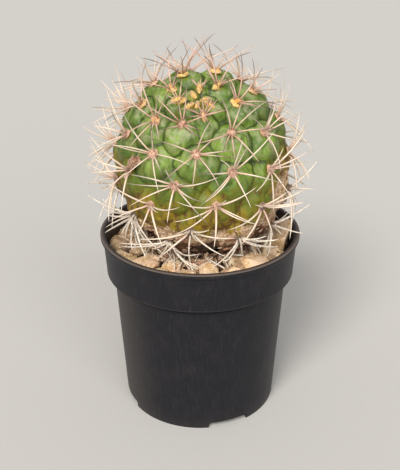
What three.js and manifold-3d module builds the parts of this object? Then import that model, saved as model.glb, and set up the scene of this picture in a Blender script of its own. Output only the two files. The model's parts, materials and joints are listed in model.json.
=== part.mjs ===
// Potted round cactus: a globular, chin-forming cactus in a round plastic nursery pot with a gravel top.
// Millimetres, +Z up. The origin is the centre of the pot's footprint, on the surface that it stands on.
import * as THREE from 'three';
import { mergeVertices } from 'three/addons/utils/BufferGeometryUtils.js';
import Module from 'manifold-3d';

const { clamp, degToRad, euclideanModulo, lerp, mapLinear } = THREE.MathUtils;
const wasm = await Module();
wasm.setup();

// Pot
const RIM_RADIUS = 55;
const POT_HEIGHT = 104;
const WALL = 1.35;
const COLLAR_HEIGHT = 22.9;
const COLLAR_TOP_RADIUS = 53.5;
const COLLAR_BOTTOM_RADIUS = 52.2;
const BODY_TOP_RADIUS = 48.3;
const FOOT_RADIUS = 43.3;
const LIP_HEIGHT = 3.1;
const LIP_ROUND = 0.8;
const FLOOR_UNDERSIDE = 4.2;
const FLOOR_TOP = 5.8;
const POT_SIDES = 40;
const COLLAR_BASE = POT_HEIGHT - COLLAR_HEIGHT;
const LEDGE_TOP = COLLAR_BASE + 1.2;

// Notches between the feet, measured from the front (-Y) towards the right (+X)
const NOTCH_AZIMUTHS = [22, 113, 202, 288];
const NOTCH_WIDTH = 23;
const NOTCH_HEIGHT = 3.6;
const DRAIN_RING_RADIUS = 29;
const DRAIN_RADIUS = 4.2;

// Soil
const GAP = 0.3;
const SOIL_TOP = 89;
const ROOT_TOP_RADIUS = 16;
const ROOT_TIP_RADIUS = 7;
const ROOT_DEPTH = 46;

// Cactus body: a ball, slightly drawn out along the axis of its crown, which leans to the front
const BALL_CENTRE = new THREE.Vector3(0.7, 0, 144.9);
const BALL_RADIUS = 46.6;
const BALL_STRETCH = 1.04;
const BASE_FULLNESS = 0.07;
const BASE_FULLNESS_RIGHT = 0.05;
const CROWN_AXIS = new THREE.Vector3(-0.03, -0.53, 0.85).normalize();
const CREASE_DEPTH = 6.4;
const BODY_DETAIL = 9;
const CREASE_REACH = 0.04;
const NECK_TOP = 112;

// Spiral of areoles, counted from the crown outwards
const FIRST_AREOLE = -7;
const LAST_AREOLE = 74;
const SPIRAL_START = degToRad(289.1);
const DIVERGENCE = degToRad(106.56);
const CAP_SCALE = 0.0146;
const CAP_POWER = 1.197;
const CAP_SHIFT = -0.25;
const CAP_SOFTNESS = 2.7;
const WIDEST_CAP = 1.93;
const SWIRL = { turn: -0.178, turnAt: 242, drift: -0.11, driftAt: 284 };
const LOWEST_AREOLE = 107;

// Tubercles, as rounded knobs whose areole sits on the shoulder nearest the crown
const KNOB_RADIUS_SHARE = 0.66;
const KNOB_RISE = 0.7;
const SMALLEST_KNOB = 7;
const CROWN_DIP = -2.6;
const CROWN_EDGE = 4;
const CHIN_SHARE = 0.3;
const FIRST_PAD = -4;
const PAD_RADIUS = 2.9;
const PAD_HEIGHT = 1.7;
const PAD_ROOT = 1;

// Spines: where each points, clockwise from the crown when seen from outside, and its share of full length
const SPINE_RULE = [
  { clock: 12, share: 0.9, lift: 24 },
  { clock: 74, share: 1.0, lift: 4 },
  { clock: 122, share: 0.95, lift: 0 },
  { clock: 180, share: 0.86, lift: 0 },
  { clock: 236, share: 0.98, lift: 0 },
  { clock: 288, share: 1.0, lift: 3 },
];
const SPINE_SHORTEST = 21.5;
const SPINE_LONGEST = 27.5;
const SPINE_TAPER = 0.35;
const SPINE_STEPS = 2;
const SEAT_SHARE = 0.3;
const SEAT_SHIFT = 0.45;
const YOUNG_LIFT = 56;
const OLD_LIFT = 34;
const OLD_AGE = 24;
const LIFT_SPREAD = 12;
const CLOCK_SPREAD = 16;
const SPINE_HOOK = 0.17;
const STEEPEST_BEND = 0.2;
const REACH = 62;
const HIGHEST_TIP = 212;

// Gravel
const STONE_COUNT = 44;
const MOST_TRIES = 4000;
const SMALLEST_STONE = 4.6;
const LARGEST_STONE = 7;
const CLOSEST_SHARE = 0.82;
const LOWEST_STONE_TOP = 97.5;
const HIGHEST_STONE_TOP = 101.1;
const LEFT_DROP = 2.2;
const STONE_CORNERS = 8;
const STONE_REACH = 1.35;
const SHORTEST_SIDE = 1.8;
const CORNER_WEAR = 0.12;
const STONE_LEVELS = [
  { inset: 0.72, rise: 0 },
  { inset: 1, rise: 0.4 },
  { inset: 0.93, rise: 0.78 },
  { inset: 0.55, rise: 1 },
];
const STONE_GAP = 1.1;
const STONE_WALL_GAP = 0.8;
const INNER_RING = 19;
const NECK_CLEARANCE = 1.2;
const MOST_LEAN = 0.22;
const BALL_CLEARANCE = 1.5;

// A repeatable number from 0 to 1 for each set of three whole numbers
const SEED = 17;
function draw(a, b, c) {
  const value = Math.sin(a * 12.9898 + b * 78.233 + c * 37.719 + SEED) * 43758.5453;
  return value - Math.floor(value);
}

function smoothstep(from, to, value) {
  const share = clamp((value - from) / (to - from), 0, 1);
  return share * share * (3 - 2 * share);
}

function standard(color, roughness) {
  return new THREE.MeshStandardMaterial({ color, roughness, metalness: 0, flatShading: true });
}

const MATERIALS = {
  pot: standard(0x2f2f31, 0.5),
  soil: standard(0x4a3a2c, 1),
  cactus: standard(0x6f8c3f, 0.6),
  stone: standard(0xc6a884, 0.9),
};

// Solids
function toManifold(geometry) {
  const bare = geometry.clone();
  bare.deleteAttribute('normal');
  bare.deleteAttribute('uv');
  const merged = mergeVertices(bare, 1e-4);
  return new wasm.Manifold(new wasm.Mesh({
    numProp: 3,
    vertProperties: new Float32Array(merged.attributes.position.array),
    triVerts: new Uint32Array(merged.index.array),
  }));
}

function fromPoints(points, faces) {
  const geometry = new THREE.BufferGeometry().setFromPoints(points);
  geometry.setIndex(faces);
  geometry.computeVertexNormals();
  return geometry;
}

function toGeometry(manifold) {
  const mesh = manifold.getMesh();
  const geometry = new THREE.BufferGeometry();
  geometry.setAttribute('position', new THREE.BufferAttribute(new Float32Array(mesh.vertProperties), 3));
  geometry.setIndex(new THREE.BufferAttribute(new Uint32Array(mesh.triVerts), 1));
  geometry.computeVertexNormals();
  return geometry;
}

function unite(manifolds) {
  let parts = manifolds;
  while (parts.length > 1) {
    const next = [];
    for (let i = 0; i < parts.length; i += 2) {
      next.push(i + 1 < parts.length ? parts[i].add(parts[i + 1]) : parts[i]);
    }
    parts = next;
  }
  return parts[0];
}

function named(name, geometry, material) {
  const mesh = new THREE.Mesh(geometry, material);
  mesh.name = name;
  return mesh;
}

// A closed profile of [radius, height] points, counter-clockwise in that plane, turned about Z
function turned(profile, sides) {
  const points = profile.map(([radius, height]) => new THREE.Vector2(radius, height));
  const geometry = new THREE.LatheGeometry(points, sides);
  geometry.rotateX(Math.PI / 2);
  return geometry;
}

// A direction on the ground plane, by its azimuth from the front towards the right
function fromFront(degrees, radius) {
  const angle = degToRad(degrees);
  return new THREE.Vector3(radius * Math.sin(angle), -radius * Math.cos(angle), 0);
}

// The pot's outer radius below the collar, and its inner radii
function bodyRadius(height) {
  return mapLinear(height, 0, COLLAR_BASE, FOOT_RADIUS, BODY_TOP_RADIUS);
}

function collarInnerRadius(height) {
  const share = (height - COLLAR_BASE) / COLLAR_HEIGHT;
  return lerp(COLLAR_BOTTOM_RADIUS, COLLAR_TOP_RADIUS, share) - WALL;
}

function potProfile() {
  const lipBase = POT_HEIGHT - LIP_HEIGHT;
  return [
    [0, FLOOR_UNDERSIDE],
    [bodyRadius(FLOOR_UNDERSIDE) - WALL, FLOOR_UNDERSIDE],
    [FOOT_RADIUS - WALL, 0],
    [FOOT_RADIUS, 0],
    [BODY_TOP_RADIUS, COLLAR_BASE],
    [COLLAR_BOTTOM_RADIUS - LIP_ROUND, COLLAR_BASE],
    [COLLAR_BOTTOM_RADIUS, COLLAR_BASE + LIP_ROUND],
    [COLLAR_TOP_RADIUS, lipBase],
    [RIM_RADIUS - LIP_ROUND, lipBase],
    [RIM_RADIUS, lipBase + LIP_ROUND],
    [RIM_RADIUS, POT_HEIGHT - LIP_ROUND],
    [RIM_RADIUS - LIP_ROUND, POT_HEIGHT],
    [collarInnerRadius(POT_HEIGHT) + LIP_ROUND, POT_HEIGHT],
    [collarInnerRadius(POT_HEIGHT - LIP_ROUND), POT_HEIGHT - LIP_ROUND],
    [collarInnerRadius(LEDGE_TOP), LEDGE_TOP],
    [BODY_TOP_RADIUS - WALL, LEDGE_TOP],
    [bodyRadius(FLOOR_TOP) - WALL, FLOOR_TOP],
    [0, FLOOR_TOP],
  ];
}

function makePot() {
  const shell = toManifold(turned(potProfile(), POT_SIDES));
  const cuts = NOTCH_AZIMUTHS.map((azimuth) => {
    const box = new THREE.BoxGeometry(NOTCH_WIDTH, FOOT_RADIUS, 2 * NOTCH_HEIGHT);
    box.rotateZ(degToRad(azimuth));
    const middle = fromFront(azimuth, FOOT_RADIUS);
    box.translate(middle.x, middle.y, 0);
    return toManifold(box);
  });
  for (const azimuth of NOTCH_AZIMUTHS) {
    const drain = new THREE.CylinderGeometry(DRAIN_RADIUS, DRAIN_RADIUS, 2 * FLOOR_TOP, 12);
    drain.rotateX(Math.PI / 2);
    const middle = fromFront(azimuth, DRAIN_RING_RADIUS);
    drain.translate(middle.x, middle.y, FLOOR_TOP);
    cuts.push(toManifold(drain));
  }
  return named('pot', toGeometry(shell.subtract(unite(cuts))), MATERIALS.pot);
}

// Soil fills the pot up to SOIL_TOP, with a plain blind hole for the root
function makeSoil() {
  const profile = [
    [0, FLOOR_TOP + GAP],
    [bodyRadius(FLOOR_TOP) - WALL - GAP, FLOOR_TOP + GAP],
    [BODY_TOP_RADIUS - WALL - 2 * GAP, LEDGE_TOP + GAP],
    [collarInnerRadius(LEDGE_TOP) - GAP, LEDGE_TOP + GAP],
    [collarInnerRadius(SOIL_TOP) - GAP, SOIL_TOP],
    [ROOT_TOP_RADIUS + GAP, SOIL_TOP],
    [ROOT_TIP_RADIUS + GAP, SOIL_TOP - ROOT_DEPTH - GAP],
    [0, SOIL_TOP - ROOT_DEPTH - GAP],
  ];
  return named('soil', turned(profile, POT_SIDES), MATERIALS.soil);
}

// Axes of the crown: x and y across it, n along it
const CROWN_X = new THREE.Vector3(0, 1, 0).cross(CROWN_AXIS).normalize();
const CROWN_Y = new THREE.Vector3().crossVectors(CROWN_AXIS, CROWN_X);

// Radius of the ball without its knobs: fuller below its middle, most of all on the right
function ballRadius(direction) {
  const along = direction.dot(CROWN_AXIS);
  const drawnOut = BALL_RADIUS / Math.hypot(Math.sqrt(1 - along * along), along / BALL_STRETCH);
  const below = Math.min(direction.z, 0);
  const fullness = BASE_FULLNESS + BASE_FULLNESS_RIGHT * direction.x;
  return drawnOut * (1 + fullness * 4 * below * below * (1 - below * below));
}

// Direction of one areole from the ball's centre, and the spacing of the areoles around it
function areoleAt(index) {
  const step = CAP_SOFTNESS * Math.log1p(Math.exp((index + CAP_SHIFT) / CAP_SOFTNESS));
  const cap = CAP_SCALE * step ** CAP_POWER;
  if (cap > WIDEST_CAP) {
    return null;
  }
  const polar = Math.acos(1 - cap);
  const turn = SPIRAL_START + index * DIVERGENCE;
  const tilt = polar * (1 + SWIRL.drift * Math.cos(turn - degToRad(SWIRL.driftAt)));
  const spin = turn + SWIRL.turn * Math.cos(turn - degToRad(SWIRL.turnAt));
  const onBall = (angle) => new THREE.Vector3()
    .addScaledVector(CROWN_X, Math.sin(angle) * Math.cos(spin))
    .addScaledVector(CROWN_Y, Math.sin(angle) * Math.sin(spin))
    .addScaledVector(CROWN_AXIS, Math.cos(angle))
    .normalize();
  const growth = 1 / (1 + Math.exp(-(index + CAP_SHIFT) / CAP_SOFTNESS));
  const capStep = CAP_SCALE * CAP_POWER * step ** (CAP_POWER - 1) * growth;
  const spacing = BALL_RADIUS * Math.sqrt(2 * Math.PI * capStep);
  const chin = (CHIN_SHARE * spacing) / BALL_RADIUS;
  return { index, spacing, areole: onBall(tilt), knob: onBall(tilt + chin) };
}

function listAreoles() {
  const list = [];
  for (let index = FIRST_AREOLE; index <= LAST_AREOLE; index += 1) {
    const found = areoleAt(index);
    if (found && BALL_CENTRE.z + found.areole.z * ballRadius(found.areole) > LOWEST_AREOLE) {
      list.push(found);
    }
  }
  return list;
}

// Each knob is a sphere sunk into the ball, its top a little above the ball, or below it at the crown
function knobSphere({ index, knob, spacing }) {
  const radius = Math.max(KNOB_RADIUS_SHARE * spacing, SMALLEST_KNOB);
  const rise = lerp(CROWN_DIP, KNOB_RISE, smoothstep(FIRST_AREOLE, CROWN_EDGE, index));
  return { direction: knob, radius, distance: ballRadius(knob) + rise - radius };
}

// Where a ray from the ball's centre leaves one knob, or 0 where it misses
function knobReach(direction, knob) {
  const along = direction.dot(knob.direction);
  const across = knob.distance * knob.distance * (1 - along * along);
  if (along <= 0 || across >= knob.radius * knob.radius) {
    return 0;
  }
  return knob.distance * along + Math.sqrt(knob.radius * knob.radius - across);
}

// The two knobs that reach furthest along a direction, with their reach
function foremostKnobs(direction, knobs) {
  const reached = knobs.map((knob) => ({ knob, reach: knobReach(direction, knob) }));
  return reached.sort((one, other) => other.reach - one.reach).slice(0, 2);
}

// Distance from the ball's centre to the lumpy surface along a direction
function surfaceRadius(direction, knobs) {
  return Math.max(ballRadius(direction) - CREASE_DEPTH, foremostKnobs(direction, knobs)[0].reach);
}

// A direction moved onto the crease between two knobs where one passes close by
function onCrease(direction, knobs) {
  const [first, second] = foremostKnobs(direction, knobs);
  if (second.reach === 0) {
    return direction;
  }
  const across = second.knob.direction.clone().sub(first.knob.direction);
  across.addScaledVector(direction, -across.dot(direction)).normalize();
  const moved = (angle) => direction.clone().addScaledVector(across, angle).normalize();
  const lead = (angle) => knobReach(moved(angle), first.knob) - knobReach(moved(angle), second.knob);
  let near = 0;
  let far = CREASE_REACH;
  if (lead(far) > 0) {
    return direction;
  }
  for (let halving = 0; halving < 8; halving += 1) {
    const middle = (near + far) / 2;
    if (lead(middle) > 0) {
      near = middle;
    } else {
      far = middle;
    }
  }
  return moved(near);
}

// The ball with its knobs raised from it
function makeBall(knobs) {
  const ball = new THREE.IcosahedronGeometry(1, BODY_DETAIL);
  const position = ball.attributes.position;
  for (let i = 0; i < position.count; i += 1) {
    const direction = onCrease(new THREE.Vector3().fromBufferAttribute(position, i).normalize(), knobs);
    const point = direction.clone().multiplyScalar(surfaceRadius(direction, knobs)).add(BALL_CENTRE);
    position.setXYZ(i, point.x, point.y, point.z);
  }
  return toManifold(ball);
}

// Lowest height that a spine may have above the gravel, the rim and the tall stone
function spineFloor(point) {
  const outOfPot = smoothstep(45, 50.5, Math.hypot(point.x, point.y));
  const floor = lerp(STONE_HIGHEST + 0.9, POT_HEIGHT + 1, outOfPot);
  const tall = new THREE.Vector2(point.x - TALL_STONE.x, point.y - TALL_STONE.y).length();
  const overTall = 1 - smoothstep(TALL_STONE.size + 1, TALL_STONE.size + 6, tall);
  return lerp(floor, TALL_STONE.top + 1.2, overTall);
}

// Axes of one areole on the surface: up is towards the crown, side is to the right when seen from outside
function areoleAxes({ areole }) {
  const up = CROWN_AXIS.clone().addScaledVector(areole, -CROWN_AXIS.dot(areole)).normalize();
  return { outward: areole, up, side: new THREE.Vector3().crossVectors(areole, up).negate() };
}

function onClock({ up, side }, degrees) {
  const angle = degToRad(degrees);
  return new THREE.Vector3().addScaledVector(up, Math.cos(angle)).addScaledVector(side, Math.sin(angle));
}

// Centre line of one spine from its seat: it bends back towards the body and stays within the plant's reach
function spinePath(areole, axes, seat, rule, order) {
  const { index } = areole;
  const age = smoothstep(0, OLD_AGE, index);
  const ageLift = lerp(YOUNG_LIFT, OLD_LIFT, age) + rule.lift * age;
  const lift = degToRad(ageLift + LIFT_SPREAD * (draw(index, order, 2) - 0.5));
  const along = onClock(axes, rule.clock + CLOCK_SPREAD * (draw(index, order, 1) - 0.5));
  const start = along.multiplyScalar(Math.cos(lift)).addScaledVector(axes.outward, Math.sin(lift));
  const youth = smoothstep(FIRST_PAD - 1, CROWN_EDGE, index);
  let length = rule.share * youth * lerp(SPINE_SHORTEST, SPINE_LONGEST, draw(index, order, 3));
  const at = (share) => {
    const point = seat.clone().addScaledVector(start, length * share);
    point.addScaledVector(axes.outward, -length * SPINE_HOOK * share * share);
    point.z = Math.max(point.z, Math.min(spineFloor(point), seat.z + STEEPEST_BEND * length * share));
    return point;
  };
  const beyond = (point) => Math.hypot(point.x, point.y) > REACH || point.z > HIGHEST_TIP;
  while (beyond(at(1))) {
    length *= 0.99;
  }
  return at;
}

// The pad of one areole as a low pyramid with a side for each spine, and each spine drawn out of its side
function makeCluster(areole, foot) {
  const axes = areoleAxes(areole);
  const scale = lerp(0.6, 1, smoothstep(FIRST_PAD, CROWN_EDGE, areole.index));
  const sides = SPINE_RULE.length;
  const apex = foot.clone().addScaledVector(axes.outward, PAD_HEIGHT * scale);
  const corners = SPINE_RULE.map((rule, order) => {
    const next = SPINE_RULE[(order + 1) % sides];
    const turn = euclideanModulo(next.clock - rule.clock, 360);
    return foot.clone()
      .addScaledVector(onClock(axes, rule.clock + turn / 2), PAD_RADIUS * scale)
      .addScaledVector(axes.outward, -PAD_ROOT);
  });
  const points = [apex, ...corners];
  const faces = [];
  for (let i = 2; i < sides; i += 1) {
    faces.push(1, i, i + 1);
  }
  SPINE_RULE.forEach((rule, order) => {
    const side = [0, 1 + order, 1 + ((order + sides - 1) % sides)];
    const middle = side.reduce((sum, i) => sum.addScaledVector(points[i], 1 / 3), new THREE.Vector3());
    const seat = middle.clone().lerp(apex, SEAT_SHIFT);
    const path = spinePath(areole, axes, seat, rule, order);
    let ring = side;
    for (let step = 0; step < SPINE_STEPS; step += 1) {
      const share = step / SPINE_STEPS;
      const spot = path(share);
      const width = SEAT_SHARE * (1 - SPINE_TAPER * share);
      const next = side.map((i) => points.push(spot.clone().addScaledVector(points[i], width)
        .addScaledVector(middle, -width)) - 1);
      for (let i = 0; i < 3; i += 1) {
        const j = (i + 1) % 3;
        faces.push(ring[i], ring[j], next[j], ring[i], next[j], next[i]);
      }
      ring = next;
    }
    const tip = points.push(path(1)) - 1;
    for (let i = 0; i < 3; i += 1) {
      faces.push(ring[i], ring[(i + 1) % 3], tip);
    }
  });
  return toManifold(fromPoints(points, faces));
}

function makeCactus() {
  const areoles = listAreoles();
  const knobs = areoles.map(knobSphere);
  const root = turned([
    [0, SOIL_TOP - ROOT_DEPTH],
    [ROOT_TIP_RADIUS, SOIL_TOP - ROOT_DEPTH],
    [ROOT_TOP_RADIUS, SOIL_TOP],
    [ROOT_TOP_RADIUS, NECK_TOP],
    [0, NECK_TOP],
  ], 14);
  const body = makeBall(knobs).add(toManifold(root));
  const clusters = areoles.filter(({ index }) => index >= FIRST_PAD).map((areole) => {
    const foot = BALL_CENTRE.clone().addScaledVector(areole.areole, surfaceRadius(areole.areole, knobs));
    return makeCluster(areole, foot);
  });
  const whole = body.add(unite(clusters));
  return named('cactus', toGeometry(whole), MATERIALS.cactus);
}

// Gravel: stones that stand out in the front, then a seeded ring of others around them
// x and y are the middle, size is about half the width, and top is the height of the upper face
const TALL_STONE = { x: 43.5, y: -1, size: 9.5, top: 107.5 };
const STONE_HIGHEST = 102;
const FEATURED_STONES = [
  { x: 30, y: -28, size: 11, top: 101.5 },
  TALL_STONE,
  { x: 16.7, y: -37.5, size: 8, top: 101.5 },
  { x: 5.2, y: -39, size: 7, top: 101.5 },
  { x: -9, y: -40, size: 9, top: 100.8 },
  { x: -20, y: -37, size: 5.5, top: 99.5 },
  { x: -30, y: -28, size: 8, top: 99.5 },
  { x: -40, y: -18, size: 7.5, top: 98.5 },
  { x: -43.5, y: 1, size: 7, top: 98.5 },
  { x: 43, y: -19.5, size: 6, top: 100.5 },
];

function stoneSites() {
  const sites = [...FEATURED_STONES];
  const outer = collarInnerRadius(SOIL_TOP) - SMALLEST_STONE;
  for (let tries = 0; sites.length < STONE_COUNT && tries < MOST_TRIES; tries += 1) {
    const radius = Math.sqrt(lerp(INNER_RING ** 2, outer ** 2, draw(tries, 1, 1)));
    const { x, y } = fromFront(360 * draw(tries, 1, 2), radius);
    const size = lerp(SMALLEST_STONE, LARGEST_STONE, draw(tries, 1, 3));
    const isClear = (other) => Math.hypot(x - other.x, y - other.y) > CLOSEST_SHARE * (size + other.size);
    if (sites.every(isClear)) {
      const lowerAtLeft = LEFT_DROP * smoothstep(-10, 45, -x);
      const top = lerp(LOWEST_STONE_TOP, HIGHEST_STONE_TOP, draw(tries, 1, 4)) - lowerAtLeft;
      sites.push({ x, y, size, top });
    }
  }
  return sites;
}

// Part of a convex outline on the side of a line where normal . point <= offset
function clipOutline(outline, normal, offset) {
  const kept = [];
  outline.forEach((point, i) => {
    const next = outline[(i + 1) % outline.length];
    const here = normal.dot(point) - offset;
    const there = normal.dot(next) - offset;
    if (here <= 0) {
      kept.push(point);
    }
    if (here * there < 0) {
      kept.push(point.clone().lerp(next, here / (here - there)));
    }
  });
  return kept;
}

// Ground outline of one stone: the area nearer to it than to its neighbours, between the neck and the wall
function stoneOutline(site, others) {
  const wall = collarInnerRadius(SOIL_TOP) - STONE_WALL_GAP;
  const middle = new THREE.Vector2(site.x, site.y);
  let outline = [];
  for (let i = 0; i < STONE_CORNERS; i += 1) {
    const angle = (2 * Math.PI * (i + draw(i, 2, Math.round(site.x)))) / STONE_CORNERS;
    const corner = new THREE.Vector2(Math.cos(angle), Math.sin(angle));
    outline.push(corner.multiplyScalar(STONE_REACH * site.size).add(middle));
  }
  for (let i = 0; i < POT_SIDES; i += 1) {
    const angle = (2 * Math.PI * (i + 0.5)) / POT_SIDES;
    const normal = new THREE.Vector2(Math.cos(angle), Math.sin(angle));
    outline = clipOutline(outline, normal, wall * Math.cos(Math.PI / POT_SIDES));
  }
  outline = clipOutline(outline, middle.clone().normalize().negate(), -ROOT_TOP_RADIUS - NECK_CLEARANCE);
  for (const other of others) {
    const away = new THREE.Vector2(other.x - site.x, other.y - site.y);
    const distance = away.length();
    const share = 0.5 + (site.size ** 2 - other.size ** 2) / (2 * distance ** 2);
    away.normalize();
    outline = clipOutline(outline, away, away.dot(middle) + share * distance - STONE_GAP / 2);
  }
  return outline;
}

// Drops corners that lie too close to the one before
function tidyOutline(outline, shortest) {
  return outline.filter((point, i) => point.distanceTo(outline[(i + 1) % outline.length]) > shortest);
}

// Height of the ball's underside over a spot, at its fullest
function underside(x, y) {
  const widest = BALL_RADIUS * (1 + BASE_FULLNESS + BASE_FULLNESS_RIGHT);
  const across = Math.min(Math.hypot(x - BALL_CENTRE.x, y - BALL_CENTRE.y), widest);
  return BALL_CENTRE.z - Math.sqrt(widest * widest - across * across);
}

// A stone on the soil: worn corners at a few levels, its upper face leaning a little
function makeStone(site, others, order) {
  const outline = tidyOutline(stoneOutline(site, others), SHORTEST_SIDE);
  const count = outline.length;
  const middle = new THREE.Vector2();
  outline.forEach((corner) => middle.addScaledVector(corner, 1 / count));
  const base = SOIL_TOP + GAP;
  const lean = fromFront(360 * draw(order, 3, 1), MOST_LEAN * draw(order, 3, 2));
  const points = STONE_LEVELS.flatMap(({ inset, rise }, level) => outline.map((corner, i) => {
    const wear = level === 0 ? 0 : CORNER_WEAR * draw(order, level, i);
    const spot = middle.clone().lerp(corner, inset * (1 - wear));
    const across = spot.clone().sub(middle);
    const slope = level < 2 ? 0 : across.dot(lean) - 0.5 * MOST_LEAN * site.size;
    const height = lerp(base, site.top, rise) + slope;
    return new THREE.Vector3(spot.x, spot.y, Math.min(height, underside(spot.x, spot.y) - BALL_CLEARANCE));
  }));
  const top = (STONE_LEVELS.length - 1) * count;
  const faces = [];
  for (let i = 1; i < count - 1; i += 1) {
    faces.push(0, i + 1, i, top, top + i, top + i + 1);
  }
  for (let low = 0; low < top; low += count) {
    for (let i = 0; i < count; i += 1) {
      const next = (i + 1) % count;
      faces.push(low + i, low + next, low + count + next, low + i, low + count + next, low + count + i);
    }
  }
  return named(`stone_${String(order + 1).padStart(2, '0')}`, fromPoints(points, faces), MATERIALS.stone);
}

function makeStones() {
  const sites = stoneSites();
  return sites.map((site, order) => makeStone(site, sites.filter((other) => other !== site), order));
}

const group = new THREE.Group();
group.add(makePot(), makeSoil(), makeCactus(), ...makeStones());

export default group;
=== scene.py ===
import json
import math

import bmesh
import bpy
import numpy as np
from bpy.props import FloatProperty, FloatVectorProperty, IntProperty, PointerProperty, StringProperty
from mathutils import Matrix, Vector, noise
from mathutils.bvhtree import BVHTree

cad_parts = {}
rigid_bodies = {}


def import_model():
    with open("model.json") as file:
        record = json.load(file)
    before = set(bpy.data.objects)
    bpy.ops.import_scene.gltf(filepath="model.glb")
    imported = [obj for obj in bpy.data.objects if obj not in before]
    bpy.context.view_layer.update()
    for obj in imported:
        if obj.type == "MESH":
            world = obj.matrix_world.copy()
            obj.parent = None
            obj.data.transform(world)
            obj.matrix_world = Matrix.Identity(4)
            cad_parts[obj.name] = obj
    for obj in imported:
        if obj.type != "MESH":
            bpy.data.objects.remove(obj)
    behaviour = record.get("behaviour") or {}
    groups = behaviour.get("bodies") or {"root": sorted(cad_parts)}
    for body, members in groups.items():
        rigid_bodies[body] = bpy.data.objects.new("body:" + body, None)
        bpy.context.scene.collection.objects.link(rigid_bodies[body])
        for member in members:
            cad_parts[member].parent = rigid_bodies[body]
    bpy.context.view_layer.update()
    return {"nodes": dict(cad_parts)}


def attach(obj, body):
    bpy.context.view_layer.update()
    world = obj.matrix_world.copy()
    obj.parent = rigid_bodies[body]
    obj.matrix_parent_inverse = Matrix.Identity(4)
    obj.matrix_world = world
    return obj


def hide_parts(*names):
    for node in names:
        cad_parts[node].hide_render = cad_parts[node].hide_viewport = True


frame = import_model()

bl_info = {
    "name": "Potted Round Cactus",
    "version": (1, 0, 0),
    "blender": (4, 5, 0),
    "location": "3D View > Sidebar > Cactus",
    "description": "A globular cactus with curved spines in a plastic nursery pot topped with gravel",
    "category": "Add Mesh",
}

# The rules below work in millimetres, and each mesh is turned to metres when it is made
MM = 0.001
SEED = 17

# Pot. The shade band is the stretch under the collar that is painted darker as the collar's shadow, and
# azimuths run from the front
RIM_RADIUS = 55
POT_HEIGHT = 104
WALL = 1.35
COLLAR_HEIGHT = 22.9
COLLAR_TOP_RADIUS = 53.5
COLLAR_BOTTOM_RADIUS = 52.2
BODY_TOP_RADIUS = 48.3
FOOT_RADIUS = 43.3
LIP_HEIGHT = 3.1
FLOOR_UNDERSIDE = 4.2
FLOOR_TOP = 5.8
COLLAR_BASE = POT_HEIGHT - COLLAR_HEIGHT
LEDGE_TOP = COLLAR_BASE + 1.2
COLLAR_SHADE_BAND = 3
NOTCH_AZIMUTHS = (22, 113, 202, 288)
NOTCH_WIDTH = 23
NOTCH_HEIGHT = 3.6
DRAIN_RING_RADIUS = 29
DRAIN_RADIUS = 4.2
SOIL_TOP = 89
ROOT_TOP_RADIUS = 16
LONGEST_STRAIGHT = 6
POT_SHARPNESS = math.radians(50)
# Dust and painted light on the pot: dust inside and on the foot, dust with a painted highlight on the lip, a
# painted highlight on the collar's lower edge, and the left side painted lighter as light falling on it
GRIME_AND_SHEEN = {"inside": 0.24, "lip": 0.46, "foot": 0.03, "collar edge highlight": 0.04, "left side sheen": 0.09}

# Ball and crown
BALL_CENTRE = np.array([0.7, 0.0, 144.9])
BALL_RADIUS = 46.6
BALL_STRETCH = 1.04
BASE_FULLNESS = 0.07
BASE_FULLNESS_RIGHT = 0.05
CROWN_AXIS = np.array([-0.03, -0.53, 0.85]) / np.linalg.norm([-0.03, -0.53, 0.85])
CREASE_DEPTH = 6.4
DEEP_CREASE, SHALLOW_CREASE = 0.45, 1.9
PIT_DEPTH = 0.5

# Spiral of areoles: each turns by the divergence, and the cap inside it grows as a power of its number
FIRST_AREOLE = -7
LAST_AREOLE = 74
SPIRAL_START = math.radians(289.1)
DIVERGENCE = math.radians(106.56)
CAP_SCALE = 0.0146
CAP_POWER = 1.197
CAP_SHIFT = -0.25
CAP_SOFTNESS = 2.7
WIDEST_CAP = 1.93
SWIRL_TURN, SWIRL_TURN_AT = -0.178, math.radians(242)
SWIRL_DRIFT, SWIRL_DRIFT_AT = -0.11, math.radians(284)
LOWEST_AREOLE = 107
FRONT_TANNING = 11

# Knobs: spheres whose size is a share of the spacing, each a chin's length below its areole
KNOB_RADIUS_SHARE = 0.66
KNOB_RISE = 0.7
SMALLEST_KNOB = 7
CROWN_DIP = -2.6
CROWN_EDGE = 4
CHIN_SHARE = 0.3
FIRST_PAD = -4
AGE_SPAN = 62
HAIR_RADII = (0.07, 0.05)

# Spines: direction in degrees clockwise from the crown, share of the full length, lift when old, and how
# often each grows. The first six stand near the ones of the solids, and the others fill in between them
SPINE_RULE = (
    {"clock": 12, "share": 0.9, "lift": 24, "odds": 0.9},
    {"clock": 74, "share": 1.0, "lift": 4, "odds": 1},
    {"clock": 122, "share": 0.95, "lift": 0, "odds": 1},
    {"clock": 180, "share": 0.86, "lift": 0, "odds": 1},
    {"clock": 236, "share": 0.98, "lift": 0, "odds": 1},
    {"clock": 288, "share": 1.0, "lift": 3, "odds": 1},
    {"clock": 332, "share": 0.6, "lift": 10, "odds": 0.6},
    {"clock": 100, "share": 0.9, "lift": 6, "odds": 0.45},
    {"clock": 264, "share": 0.95, "lift": 8, "odds": 0.5},
    {"clock": 44, "share": 0.65, "lift": 12, "odds": 0.55},
)
SPINE_SHORTEST = 22.5
SPINE_LONGEST = 30
YOUNG_LIFT = 52
OLD_LIFT = 28
OLD_AGE = 15
LIFT_SPREAD = 20
CLOCK_SPREAD = 24
SPINE_HOOK = 0.17
SPINE_ROOT = 1.2
SPINE_TAPER = 0.84
LAST_DARK_TIPS = 22
STEEPEST_BEND = 0.2
BEND_SOFTNESS = 1.4
REACH = 63
HIGHEST_TIP = 215
LEFT_LIFT = 18

# Dried flower
FLOWER_AREOLE = 23
FLOWER_CLOCK = 20
FLOWER_LENGTH = 12.5
FLOWER_WIDTH = 4.6
FLOWER_RIBS = 11
FLOWER_FLATNESS = 0.75
FLOWER_PETALS = 26

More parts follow.
